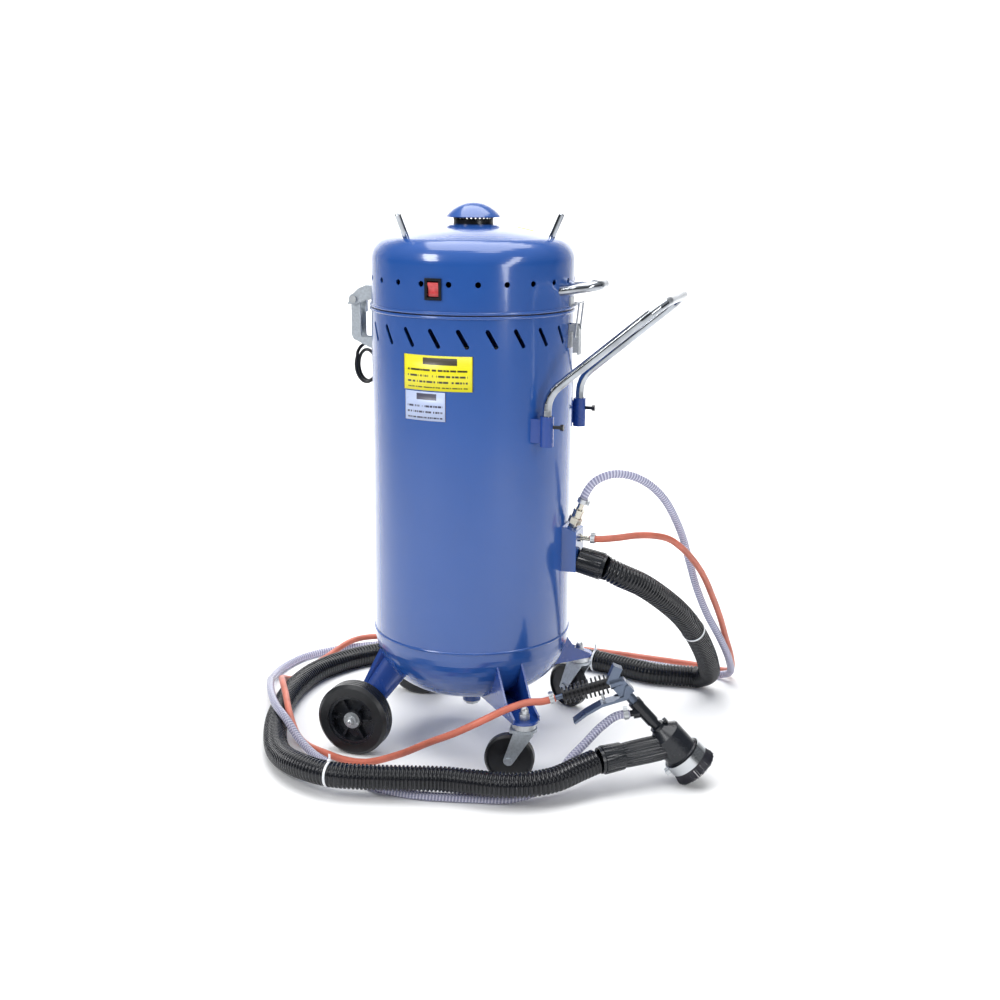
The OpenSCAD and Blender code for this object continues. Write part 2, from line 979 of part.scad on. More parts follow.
module switch_bezel() {
    color(black)
        on_wall(switch_angle, switch_z)
            difference() {
                union() {
                    translate([-switch_w / 2, -3, -switch_h / 2])
                        cube([switch_w, 6, switch_h]);
                    translate([-switch_w / 2 + 3.2, 2, -switch_h / 2 + 3.2])
                        cube([switch_w - 6.4, 22, switch_h - 6.4]);
                }
                translate([-switch_w / 2 + 5, -4, -switch_h / 2 + 5])
                    cube([switch_w - 10, 20, switch_h - 10]);
                translate([0, tank_r, -30])
                    intersection() {
                        tube(tank_r, tank_r - wall - 0.2, 60);
                        difference() {
                            translate([-40, -tank_r - 5, 0])
                                cube([80, 60, 60]);
                            translate([-switch_w / 2 + 3.2, -tank_r - 10, 0])
                                cube([switch_w - 6.4, 80, 60]);
                        }
                    }
            }
}

module switch_rocker() {
    color("red")
        on_wall(switch_angle, switch_z)
            translate([0, 5, 0])
                rotate([rocker_tilt, 0, 0])
                    difference() {
                        translate([-switch_w / 2 + 6, -5, -switch_h / 2 + 7])
                            cube([switch_w - 12, 8, switch_h - 14]);
                        translate([-20, -26, 0])
                            rotate([0, 90, 0])
                                cylinder(r = 22.5, h = 40);
                    }
}

// ---------------------------------------------------------------- inside

module lid_gasket() {
    color(black)
        tube(tank_r - 0.5, tank_r - 9, lid_bottom_z - tank_top_z - part_gap, tank_top_z);
}

module filter_cartridge() {
    pleats = 40;
    color("wheat") {
        tube(tank_r - wall - part_gap, 60, 3, 790);
        difference() {
            disc(95, 230, 560);
            disc(60, 240, 565);
            for (i = [0:pleats - 1])
                rotate([0, 0, i * 360 / pleats])
                    translate([86, -1.5, 566])
                        cube([12, 3, 220]);
        }
    }
}

module vacuum_motor() {
    color("dimgray") {
        disc(72, 62, 922);
        disc(52, 40, 984);
        tube(tank_r - wall - part_gap, 60, 3, 919);
    }
}

module media_cone() {
    r = tank_r - wall - part_gap;
    color("slategray")
        difference() {
            rotate_extrude($fn = 96)
                polygon([[r, 330], [r, 327], [40, 190], [40, 160], [37, 160], [37, 192]]);
            translate([172, 0, 0])
                disc(9, 200, 200);
        }
}

module pickup_tube() {
    color("gray") {
        translate([0, 0, 130])
            disc(12, 35);
        bar([[12, 0, 140], [60, 0, 150], [150, 0, 215], [172, 0, 300], [172, 0, 440], [204, 0, 452]], 8);
    }
}

// ---------------------------------------------------------------- port box

module port_box() {
    inner_t = 3;
    far_x = port_x - inner_t;
    rise = tan(port_top_slope);
    color(paint)
        difference() {
            translate([0, port_half_w, 0])
                rotate([90, 0, 0])
                    linear_extrude(2 * port_half_w)
                        polygon([
                            [150, port_low_z], [port_x, port_low_z], [port_x, port_high_z],
                            [150, port_high_z + rise * (port_x - 150)]
                        ]);
            translate([0, port_half_w - inner_t, 0])
                rotate([90, 0, 0])
                    linear_extrude(2 * (port_half_w - inner_t))
                        polygon([
                            [140, port_low_z + inner_t], [far_x, port_low_z + inner_t],
                            [far_x, port_high_z - inner_t], [140, port_high_z + rise * (port_x - 140) - inner_t - 1]
                        ]);
            wall_space(360, 150);
            translate([port_x - 10, 0, duct_z + 2])
                along_x(duct_slope)
                    cylinder(r = duct_r, h = 20);
            translate([port_x - 10, 0, air_fit_z])
                along_x()
                    cylinder(r = 4, h = 20);
            translate([port_x - 14, port_half_w - 8, 425])
                along_y()
                    cylinder(r = 6, h = 20);
            translate([media_fit_x, 0, port_high_z])
                rotate([0, port_top_slope, 0])
                    cylinder(r = 5, h = 60, center = true);
        }
}

module media_fitting() {
    translate([media_fit_x, 0, media_base_z])
        rotate([0, port_top_slope, 0]) {
            tube(9, 5, 8);
            difference() {
                union() {
                    hexagon(24, 13, 8);
                    disc(10.5, 12, 21);
                    disc(11.5, 5, 33);
                }
                disc(5, 40, 7);
            }
            tube(media_hose_d / 2 - 2, 5, 14, 38);
        }
}

module air_fitting() {
    translate([port_x, 0, air_fit_z])
        along_x() {
            tube(8, 3, 4);
            tube(5, 3, 16, 4);
        }
}

module hose_fittings() {
    color("goldenrod") {
        media_fitting();
        air_fitting();
    }
}

module air_inlet_plug() {
    color("goldenrod")
        translate([port_x - 14, port_half_w, 425])
            along_y()
                difference() {
                    union() {
                        hexagon(16, 10);
                        disc(6, 8, -8);
                        disc(plug_r, 22, 10);
                    }
                    disc(3, 50, -10);
                }
}

// ---------------------------------------------------------------- hoses

module vacuum_hose() {
    color(black)
        hose(vacuum_route, vacuum_hose_d, 12);
}

module media_hose() {
    color([0.8, 0.8, 0.9, 0.6])
        hose(media_route, media_hose_d, 8);
}

module air_hose() {
    color("salmon")
        hose(air_route, air_hose_d, 8);
}

module cuff(length) {
    difference() {
        union() {
            cylinder(r1 = 26, r2 = 28, h = length - 6);
            disc(25.5, 6, length - 6);
        }
        disc(duct_r + 2, length + 10, -5);
        disc(vacuum_hose_d / 2 + 0.3, 20, length);
    }
}

function gun_point(x, y, z) = let (a = gun_turn, yy = y - gun_offset)
    [x * cos(a) - yy * sin(a), x * sin(a) + yy * cos(a), z];

module hose_cuffs() {
    color(black) {
        translate([port_x, 0, duct_z])
            along_x(duct_slope)
                translate([0, 0, 0.5])
                    cuff(56);
        in_gun()
            elbow_frame()
                translate([0, 0, elbow_length])
                    cuff(46);
    }
}

module one_clamp(r, z, screw = 5) {
    tube(r + 1.5, r + 0.1, 9, z);
    translate([r + 4, 0, z + 4.5])
        rotate([90, 0, 0])
            cylinder(r = screw / 2, h = 14, center = true);
    translate([r + 1, -5, z])
        cube([5, 10, 9]);
}

module hose_clamps() {
    color(zinc) {
        translate([media_fit_x, 0, media_base_z])
            rotate([0, port_top_slope, 0])
                one_clamp(media_hose_d / 2 + 0.7, 53);
        translate([port_x + 23, 0, air_fit_z])
            along_x()
                rotate([0, 0, 180])
                    one_clamp(air_hose_d / 2 + 0.7, 0);
        in_gun() {
            translate([grip_x, 0, grip_z])
                rotate([0, 90 - grip_rise, 0])
                    rotate([0, 0, 180])
                        translate([0, 0, -26])
                            one_clamp(air_hose_d / 2 + 0.7, 0);
            inlet_frame()
                translate([0, 0, 29])
                    one_clamp(media_hose_d / 2 + 0.4, 0);
        }
    }
}

module hose_tie(p, d) {
    r = vacuum_hose_d / 2 + 0.3;
    difference() {
        translate(p)
            rotate([0, acos(d[2]), atan2(d[1], d[0])]) {
                tube(r + 1.4, r, 5, -2.5);
                translate([-r - 5, -3.5, -3.5])
                    cube([4, 7, 7]);
            }
        translate([p[0] - 50, p[1] - 50, -20])
            cube([100, 100, 20]);
    }
}

module hose_ties() {
    color("white")
        for (i = tie_rings)
            hose_tie(vacuum_route[i], heading(vacuum_route, i));
}

// ---------------------------------------------------------------- mains lead

module cord_gland() {
    color(black)
        on_wall(168.5, 826)
            rotate([90, 0, 0]) {
                difference() {
                    hexagon(19, 8);
                    disc(lead_d / 2 + 0.1, 20, -5);
                }
                tube(7, lead_d / 2 + 0.1, 6, 8);
            }
}

module power_cord() {
    color(black)
        hose(lead_route, lead_d, 8);
}

module power_cord_coil() {
    color(black)
        hose(coil_route, lead_d, 8);
}

module mains_plug() {
    color(black)
        translate([plug_x, plug_y, plug_z]) {
            post_box(24, 26, 36);
            disc(6, 12, 36);
            for (s = [-1, 1])
                translate([0, s * 6.5, -17])
                    post_box(6, 1.6, 18);
        }
}

// ---------------------------------------------------------------- gun

module in_gun() {
    rotate([0, 0, gun_turn])
        translate([0, -gun_offset, 0])
            children();
}

// Z runs down the blast axis, X lies in the gun's plane
module blast_frame() {
    translate([gun_axis_x, 0, gun_axis_z])
        rotate([0, 90 + gun_axis_fall, 0])
            children();
}

// Z runs from the blast axis along the recovery elbow
module elbow_frame() {
    translate([gun_axis_x + hood_duct_s * cos(gun_axis_fall), 0, gun_axis_z - hood_duct_s * sin(gun_axis_fall)])
        rotate([0, 0, elbow_turn])
            rotate([0, -90 - elbow_fall, 0])
                children();
}

// Z runs out of the media inlet on the barrel
module inlet_frame() {
    translate([gun_axis_x + inlet_s * cos(gun_axis_fall), 0, gun_axis_z - inlet_s * sin(gun_axis_fall)])
        rotate([0, -100, 0])
            children();
}

elbow_length = 110;
inlet_s = 46;

module gun_grip() {
    fins = 11;
    length = 92;
    color(black)
        in_gun()
            difference() {
                translate([grip_x, 0, grip_z])
                    rotate([0, 90 - grip_rise, 0])
                        difference() {
                            union() {
                                disc(10, length);
                                for (i = [0:fins - 1])
                                    disc(17 + 3 * i / fins, 3.5, i * length / fins);
                            }
                            disc(5, 20, -cut);
                        }
                translate([stem_x, 0, stem_z])
                    rotate([0, -grip_rise, 0])
                        disc(valve_r + run_gap, valve_bore);
            }
}

module gun_body() {
    color(zinc)
        in_gun() {
            difference() {
                union() {
                    translate([288, 0, 197])
                        rotate([0, gun_axis_fall, 0])
                            translate([-14, -11, -14])
                                cube([30, 22, 28]);
                    translate([270, 0, 225])
                        rotate([0, 22, 0])
                            translate([-9, -10, -20])
                                cube([18, 20, 38]);
                    translate([262, 0, 207])
                        rotate([0, 90 - grip_rise, 0])
                            disc(13, 24, 0);
                }
                blast_frame()
                    disc(7, 60, -10);
                translate([240, -20, 140])
                    cube([59.5, 40, 42.3]);
            }
            blast_frame()
                tube(neck_r, 7, 32, -14);
            translate([pivot_x, -15, pivot_z])
                along_y()
                    cylinder(r = 2, h = 30);
            translate([161, 0, 177.4])
                rotate([0, 90 - grip_rise, 0])
                    tube(5, 3, 14, -2);
        }
}

module gun_barrel() {
    color(black)
        in_gun() {
            blast_frame()
                difference() {
                    union() {
                        tube(13, 7.2, 14, 18);
                        tube(12, 7.2, 44, 30);
                        tube(10, 7.2, 22, 74);
                    }
                }
            inlet_frame()
                difference() {
                    union() {
                        disc(11, 12, 8);
                        disc(6.3, 18, 8);
                    }
                    disc(4, 40);
                    rotate([0, 100, 0])
                        rotate([0, 90 + gun_axis_fall, 0])
                            cylinder(r = 11, h = 80, center = true);
                }
        }
}

module gun_nozzle() {
    color("white")
        in_gun()
            blast_frame()
                difference() {
                    union() {
                        disc(6.8, 60, 90);
                        disc(9, 10, 112);
                    }
                    disc(3.2, 80, 80);
                }
}

module recovery_hood() {
    color(black)
        in_gun()
            difference() {
                blast_frame()
                    rotate_extrude($fn = 96)
                        polygon([
                            [10.2, 86], [15, 86], [15, 92], [hood_r, 108], [hood_r, 158],
                            [37, 160], [37, 190], [33, 190], [33, 162], [hood_r - 3, 158],
                            [hood_r - 3, 110], [13, 95], [10.2, 95]
                        ]);
                elbow_frame()
                    cylinder(r = 20, h = 60);
                blast_frame()
                    translate([-20, 0, 90])
                        along_x()
                            cylinder(r = 3, h = 12);
            }
}

module hood_screw() {
    color(black)
        in_gun()
            blast_frame()
                translate([-10.3, 0, 89])
                    rotate([0, -90, 0]) {
                        disc(2.5, 8);
                        disc(6, 6, 6);
                    }
}

module hood_elbow() {
    color(black)
        in_gun()
            difference() {
                elbow_frame()
                    difference() {
                        cylinder(r1 = 25, r2 = 23, h = elbow_length);
                        translate([0, 0, -cut])
                            cylinder(r = 19.5, h = elbow_length + 2 * cut);
                    }
                blast_frame()
                    cylinder(r = hood_r, h = 220);
            }
}

module hood_band() {
    color("silver")
        in_gun()
            blast_frame() {
                tube(41, 39.2, 22, 162);
                translate([40, -9, 169])
                    cube([9, 18, 8]);
            }
}

module brush_ring() {
    color(rubber)
        in_gun()
            blast_frame()
                rotate_extrude($fn = 96)
                    polygon([[37.1, 164], [39, 164], [39, 186], [43.5, 206], [39, 206], [35, 191], [37.1, 191]]);
}

module gun_trigger() {
    color("dimgray")
        in_gun()
            difference() {
                union() {
                    for (s = [-1, 1])
                        translate([0, s * 13 + 1.25, 0])
                            rotate([90, 0, 0])
                                linear_extrude(2.5)
                                    difference() {
                                        union() {
                                            polygon([
                                                [pivot_x - 5, pivot_z], [pivot_x + 5, pivot_z], [300, 184],
                                                [292, 178], [272, 173], [274, 178], [288, 184]
                                            ]);
                                            translate([pivot_x, pivot_z])
                                                circle(r = 5);
                                        }
                                        translate([pivot_x, pivot_z])
                                            circle(r = 2 + run_gap);
                                    }
                    translate([0, 14.25, 0])
                        rotate([90, 0, 0])
                            linear_extrude(28.5)
                                polygon([
                                    [296, 178], [273, 171], [248, 163], [220, 146], [197, 128],
                                    [194, 131], [217, 150], [246, 168], [273, 176], [294, 181]
                                ]);
                }
                blast_frame()
                    disc(neck_r + 0.7, 50, -15);
            }
}

module valve_stem() {
    color(zinc)
        in_gun()
            translate([stem_x, 0, stem_z])
                rotate([0, -grip_rise, 0])
                    disc(valve_r, 14);
}

// ---------------------------------------------------------------- labels

module label_plates() {
    labels = [[-91, 792, 142, 67, "yellow"], [-97, 729, 86, 55, "lightgray"]];
    for (l = labels)
        color(l[4])
            intersection() {
                tube(tank_r + 0.7, tank_r, 90, l[1] - 45);
                on_wall(l[0], l[1])
                    translate([-l[2] / 2, -5, -l[3] / 2])
                        cube([l[2], 80, l[3]]);
            }
}

tank_shell();
tank_legs();
wheel_axles();
caster_stems();
handle_sockets();
socket_bolts();
hinge_bracket();
hinge_pin();
latch_base();
port_box();
hose_fittings();
air_inlet_plug();
hose_clamps();
label_plates();
drain_plug();
filter_cartridge();
lid_gasket();
media_cone();
pickup_tube();
cord_gland();
vacuum_hose();
air_hose();
media_hose();
hose_cuffs();
hose_ties();
power_cord();
power_cord_coil();
mains_plug();
gun_grip();
gun_body();
gun_barrel();
gun_nozzle();
hood_screw();
recovery_hood();
hood_elbow();
hood_band();
brush_ring();
gun_trigger();
valve_stem();
lid_shell();
vent_collar();
vent_cap();
hose_posts();
lid_handle();
hinge_leaf();
latch_keeper();
vacuum_motor();
switch_bezel();
switch_rocker();
push_handle();
latch_lever();
latch_loop();
left_tyre();
left_hub();
right_tyre();
right_hub();
near_caster_fork();
near_caster_wheel();
far_caster_fork();
far_caster_wheel();
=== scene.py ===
"""Studio picture of a portable abrasive blaster with vacuum recovery.

Units are metres in the part's own frame: the origin is on the floor under the tank,
+X points to the push handle, +Z up.
"""

import math
import random

import bpy
from mathutils import Matrix, Vector


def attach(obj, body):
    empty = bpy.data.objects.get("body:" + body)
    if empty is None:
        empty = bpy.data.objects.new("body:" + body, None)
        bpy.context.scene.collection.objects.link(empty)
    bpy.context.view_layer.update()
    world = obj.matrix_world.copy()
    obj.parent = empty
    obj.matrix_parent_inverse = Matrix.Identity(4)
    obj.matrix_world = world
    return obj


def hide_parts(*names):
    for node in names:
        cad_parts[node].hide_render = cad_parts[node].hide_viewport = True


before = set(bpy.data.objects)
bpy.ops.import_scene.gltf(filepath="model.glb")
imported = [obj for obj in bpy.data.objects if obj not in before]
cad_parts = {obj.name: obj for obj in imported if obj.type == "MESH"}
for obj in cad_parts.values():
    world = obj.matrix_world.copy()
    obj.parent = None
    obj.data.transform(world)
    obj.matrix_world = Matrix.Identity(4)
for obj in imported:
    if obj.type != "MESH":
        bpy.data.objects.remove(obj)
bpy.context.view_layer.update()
scene = bpy.context.scene
random.seed(7)

# ------------------------------------------------------------------ camera

CAMERA_AT = (0.9272, -2.6105, 1.1783)
CAMERA_LOOK = (-0.30657, 0.92213, -0.23601)
CAMERA_UP = (-0.08233, 0.22133, 0.97172)


def add_camera():
    data = bpy.data.cameras.new("camera")
    data.sensor_width = 36
    data.lens = 50.3
    data.clip_end = 60
    obj = bpy.data.objects.new("camera", data)
    scene.collection.objects.link(obj)
    back = -Vector(CAMERA_LOOK).normalized()
    right = Vector(CAMERA_UP).cross(back).normalized()
    up = back.cross(right)
    turn = Matrix((right, up, back)).transposed().to_4x4()
    obj.matrix_world = Matrix.Translation(CAMERA_AT) @ turn
    scene.camera = obj


add_camera()

# ------------------------------------------------------------------ cord routes, in millimetres

VACUUM_ROUTE = [
    (283, 0, 390), (310, 12, 374), (345, 48, 348), (378, 98, 308), (406, 160, 258),
    (424, 225, 202), (434, 290, 144), (438, 350, 88), (432, 396, 44), (402, 416, 24),
    (355, 412, 24), (300, 408, 24), (239, 422, 24), (154, 444, 24), (40, 452, 24),
    (-90, 438, 24), (-220, 402, 24), (-320, 345, 24), (-393, 262, 24), (-434, 165, 24),
    (-438, 60, 24), (-414, -60, 24), (-372, -175, 24), (-308, -285, 26), (-232, -352, 38),
    (-150, -380, 43), (-75, -368, 43), (0, -346, 43), (60, -329, 43), (115, -323, 43),
    (170, -319, 44), (220, -304, 46), (264, -274, 50), (299, -233, 59), (323, -206, 65.5),
]
MEDIA_ROUTE = [
    (230.9, 0, 518.8), (239, 3, 541), (254, 10, 562), (282, 26, 575), (313, 50, 571),
    (345, 84, 549), (371, 122, 511), (388, 164, 460), (398, 207, 407), (406, 251, 342),
    (416, 297, 272), (434, 340, 202), (460, 382, 132), (474, 424, 72), (470, 466, 26),
    (436, 488, 9), (365, 494, 9), (240, 506, 9), (111, 512, 9), (-80, 500, 9),
    (-250, 470, 9), (-380, 420, 9), (-470, 350, 9), (-525, 270, 9), (-538, 180, 10),
    (-520, 100, 20), (-482, 15, 45), (-436, -70, 58), (-388, -140, 59), (-342, -183, 51),
    (-300, -210, 24), (-255, -238, 10), (-205, -268, 9), (-140, -305, 9), (-70, -338, 9),
    (5, -344, 9), (65, -334, 9), (125, -319, 9), (184, -303, 10),
    (225, -268, 16), (256, -240, 34), (272, -212, 62), (298, -184, 92), (322, -162, 119),
    (349.3, -146.4, 139.9), (372.4, -137.9, 144.2),
]
AIR_ROUTE = [
    (249, 0, 447), (270, 4, 447), (300, 26, 447), (330, 55, 447), (358, 88, 441),
    (384, 124, 427), (405, 160, 400), (424, 206, 360), (438, 250, 316), (448, 300, 262),
    (458, 360, 196), (466, 410, 130), (474, 452, 70), (468, 496, 24), (440, 526, 7.5),
    (380, 540, 7.5), (270, 548, 7.5), (124, 554, 7.5), (-80, 544, 7.5), (-250, 510, 8),
    (-340, 470, 17), (-420, 410, 26), (-446, 362, 27), (-468, 290, 14), (-482, 210, 7.5),
    (-484, 130, 10), (-476, 62, 36), (-442, -5, 59), (-398, -75, 57), (-358, -138, 46),
    (-320, -178, 17), (-285, -200, 7.5), (-235, -222, 7.5), (-188, -238, 7.5), (-133, -248, 14),
    (-60, -254, 44), (6, -262, 82), (62, -268, 112), (111, -262, 140), (155, -240, 162),
    (190, -210, 170), (214.6, -195.4, 169.5), (237, -187.2, 176.7),
]
LEAD_ROUTE = [
    (-209, 43, 826), (-221, 46, 825), (-231, 46, 818), (-238, 34, 815), (-243, 20, 811),
    (-246, 6, 806), (-248, -4, 797),
]
LEAD_TAIL = [
    (-212, 12, 797), (-215, 22, 804), (-218, 36, 808), (-220, 50, 806), (-220, 60, 797), (-220, 62, 784),
]
TIE_RINGS = (5, 13, 17, 25)


def metres(points):
    return [Vector(p) / 1000 for p in points]


def smooth_path(points, step):
    """Points about `step` apart on a smooth curve through the given points."""
    p = [2 * points[0] - points[1]] + list(points) + [2 * points[-1] - points[-2]]
    fine = []
    for i in range(1, len(p) - 2):
        a, b, c, d = p[i - 1], p[i], p[i + 1], p[i + 2]
        ta = 0
        tb = ta + (b - a).length ** 0.5
        tc = tb + (c - b).length ** 0.5
        td = tc + (d - c).length ** 0.5
        for k in range(12):
            t = tb + (tc - tb) * k / 12
            a1 = a * (tb - t) / (tb - ta) + b * (t - ta) / (tb - ta)
            a2 = b * (tc - t) / (tc - tb) + c * (t - tb) / (tc - tb)
            a3 = c * (td - t) / (td - tc) + d * (t - tc) / (td - tc)
            b1 = a1 * (tc - t) / (tc - ta) + a2 * (t - ta) / (tc - ta)
            b2 = a2 * (td - t) / (td - tb) + a3 * (t - tb) / (td - tb)
            fine.append(b1 * (tc - t) / (tc - tb) + b2 * (t - tb) / (tc - tb))
    fine.append(p[-2].copy())
    return even(fine, step)


def even(line, step):
    """The same line with points an even distance apart."""
    along = [0.0]
    for a, b in zip(line, line[1:]):
        along.append(along[-1] + (b - a).length)
    count = max(2, round(along[-1] / step))
    out, j = [], 0
    for i in range(count + 1):
        s = along[-1] * i / count
        while j < len(line) - 2 and along[j + 1] < s:
            j += 1
        span = along[j + 1] - along[j]
        out.append(line[j].lerp(line[j + 1], (s - along[j]) / span if span else 0))
    return out


# ------------------------------------------------------------------ mesh helpers


def new_object(name, verts, faces, material, smooth=True, uvs=None):
    mesh = bpy.data.meshes.new(name)
    mesh.from_pydata([tuple(v) for v in verts], [], faces)
    if uvs:
        layer = mesh.uv_layers.new(name="UVMap")
        for loop in mesh.loops:
            layer.data[loop.index].uv = uvs[loop.vertex_index]
    mesh.update()
    if smooth:
        for f in mesh.polygons:
            f.use_smooth = True
    obj = bpy.data.objects.new(name, mesh)
    scene.collection.objects.link(obj)
    obj.data.materials.append(material)
    return obj


def frames_along(line):
    """Tangent, side and up at each point, without twist."""
    out = []
    side = None
    for i in range(len(line)):
        t = (line[min(i + 1, len(line) - 1)] - line[max(i - 1, 0)]).normalized()
        if side is None:
            ref = Vector((0, 0, 1)) if abs(t.z) < 0.9 else Vector((0, 1, 0))
            side = t.cross(ref).normalized()
        else:
            side = (side - t * side.dot(t)).normalized()
        out.append((t, side, t.cross(side)))
    return out


def swept(name, line, radius_at, sides, material, pitch=0.01):
    """A tube along the line. radius_at(s, turn) gives its radius s metres along it."""
    verts, faces, uvs = [], [], []
    s = 0.0
    for i, (p, (_, u, v)) in enumerate(zip(line, frames_along(line))):
        if i:
            s += (p - line[i - 1]).length
        for k in range(sides):
            a = 2 * math.pi * k / sides
            r = radius_at(s, k / sides)
            verts.append(p + r * (math.cos(a) * u + math.sin(a) * v))
            uvs.append((k / sides, s / pitch))
    for i in range(len(line) - 1):
        for k in range(sides):
            a, b = i * sides + k, i * sides + (k + 1) % sides
            faces.append((a, b, b + sides, a + sides))
    last = (len(line) - 1) * sides
    faces.append(tuple(reversed(range(sides))))
    faces.append(tuple(last + k for k in range(sides)))
    return new_object(name, verts, faces, material, True, uvs)


def lathe(name, profile, material, sides=64, place=None, ripple=None, smooth=True):
    """A turned piece: profile is (radius, height) pairs, placed by a matrix.
    ripple(r, z, angle) may change the radius round the piece."""
    verts, faces = [], []
    for r, z in profile:
        for k in range(sides):
            a = 2 * math.pi * k / sides
            rr = ripple(r, z, a) if ripple else r
            verts.append(Vector((rr * math.cos(a), rr * math.sin(a), z)))
    for i in range(len(profile) - 1):
        for k in range(sides):
            a, b = i * sides + k, i * sides + (k + 1) % sides
            faces.append((a, b, b + sides, a + sides))
    if profile[0][0] > 1e-6 and profile[0] != profile[-1]:
        faces.append(tuple(reversed(range(sides))))
        last = (len(profile) - 1) * sides
        faces.append(tuple(last + k for k in range(sides)))
    obj = new_object(name, verts, faces, material, smooth)
    sharpen(obj)
    if place is not None:
        obj.data.transform(place)
    return obj


def box(name, size, centre, material, place=None, bevel=0.0008):
    x, y, z = (s / 2 for s in size)
    verts = [
        Vector((a, b, c)) + Vector(centre)
        for a in (-x, x) for b in (-y, y) for c in (-z, z)
    ]
    faces = [(0, 1, 3, 2), (4, 6, 7, 5), (0, 4, 5, 1), (2, 3, 7, 6), (0, 2, 6, 4), (1, 5, 7, 3)]
    obj = new_object(name, verts, faces, material, False)
    if place is not None:
        obj.data.transform(place)
    if bevel:
        soften(obj, bevel)
    return obj


def soften(obj, width=0.0006, segments=2):
    mod = obj.modifiers.new("edges", "BEVEL")
    mod.width = width
    mod.segments = segments
    mod.limit_method = "ANGLE"
    mod.angle_limit = math.radians(35)
    return obj


def sharpen(obj, degrees=35):
    mesh = obj.data
    mesh.set_sharp_from_angle(angle=math.radians(degrees))


def hexagon(name, across, height, place, material, bevel=0.0006):
    r = across / 2 / math.cos(math.pi / 6)
    ring = [(r * math.cos(math.pi / 3 * k), r * math.sin(math.pi / 3 * k)) for k in range(6)]
    verts = [Vector((x, y, 0)) for x, y in ring] + [Vector((x, y, height)) for x, y in ring]
    faces = [tuple(reversed(range(6))), tuple(range(6, 12))]
    faces += [(k, (k + 1) % 6, (k + 1) % 6 + 6, k + 6) for k in range(6)]
    obj = new_object(name, verts, faces, material, False)
    obj.data.transform(place)
    return soften(obj, bevel)


def joined(name, parts):
    """One mesh made of several, with their modifiers applied."""
    verts, faces, mats, where = [], [], [], []
    depsgraph = bpy.context.evaluated_depsgraph_get()
    smooth = []
    for o in parts:
        mesh = o.evaluated_get(depsgraph).to_mesh()
        base = len(verts)
        verts += [o.matrix_world @ v.co for v in mesh.vertices]
        if o.data.materials[0] not in mats:
            mats.append(o.data.materials[0])
        for f in mesh.polygons:
            faces.append([base + i for i in f.vertices])
            where.append(mats.index(o.data.materials[0]))
            smooth.append(f.use_smooth)
    out = new_object(name, verts, faces, mats[0], False)
    for m in mats[1:]:
        out.data.materials.append(m)
    for f, w, s in zip(out.data.polygons, where, smooth):
        f.material_index = w
        f.use_smooth = s
    sharpen(out)
    for o in parts:
        bpy.data.objects.remove(o)
    return out


def place(at, z_dir, x_hint=(1, 0, 0)):
    z = Vector(z_dir).normalized()
    x = Vector(x_hint)
    x = (x - z * x.dot(z)).normalized()
    y = z.cross(x)
    return Matrix.Translation(at) @ Matrix((x, y, z)).transposed().to_4x4()


# ------------------------------------------------------------------ materials


class Nodes:
    """A small builder for one material's node tree."""

    def __init__(self, name):
        self.mat = bpy.data.materials.new(name)
        self.mat.use_nodes = True
        self.tree = self.mat.node_tree
        self.bsdf = self.tree.nodes["Principled BSDF"]
        self.coord = self.tree.nodes.new("ShaderNodeTexCoord")

    def node(self, kind, **settings):
        n = self.tree.nodes.new(kind)
        for k, v in settings.items():
            if k in n.inputs:
                n.inputs[k].default_value = v
            else:
                setattr(n, k, v)
        return n

    def link(self, a, b):
        self.tree.links.new(a, b)

    def noise(self, scale, detail=3.0, stretch=None):
        n = self.node("ShaderNodeTexNoise", Scale=scale, Detail=detail)
        if stretch:
            m = self.node("ShaderNodeMapping")
            m.inputs["Scale"].default_value = stretch
            self.link(self.coord.outputs["Object"], m.inputs["Vector"])
            self.link(m.outputs["Vector"], n.inputs["Vector"])
        else:
            self.link(self.coord.outputs["Object"], n.inputs["Vector"])
        return n.outputs["Fac"]

    def ramp(self, fac, stops):
        n = self.node("ShaderNodeValToRGB")
        e = n.color_ramp.elements
        while len(e) < len(stops):
            e.new(0.5)
        for el, (at, c) in zip(e, stops):
            el.position = at
            el.color = c if len(c) == 4 else (*c, 1)
        self.link(fac, n.inputs["Fac"])
        return n.outputs["Color"]

    def span(self, fac, low, high):
        n = self.node("ShaderNodeMapRange")
        n.inputs["To Min"].default_value = low
        n.inputs["To Max"].default_value = high
        self.link(fac, n.inputs["Value"])
        return n.outputs["Result"]

    def math(self, op, a, b=None):
        n = self.node("ShaderNodeMath", operation=op)
        for i, v in enumerate((a, b)):
            if v is None:
                continue
            if isinstance(v, (int, float)):
                n.inputs[i].default_value = v
            else:
                self.link(v, n.inputs[i])
        return n.outputs["Value"]

    def bump(self, height, strength, distance=0.001, over=None):
        n = self.node("ShaderNodeBump", Strength=strength, Distance=distance)
        self.link(height, n.inputs["Height"])
        if over is not None:
            self.link(over, n.inputs["Normal"])
        self.link(n.outputs["Normal"], self.bsdf.inputs["Normal"])
        return n.outputs["Normal"]


def tinted(color, by):
    return tuple(max(0.0, min(1.0, c * by)) for c in color)


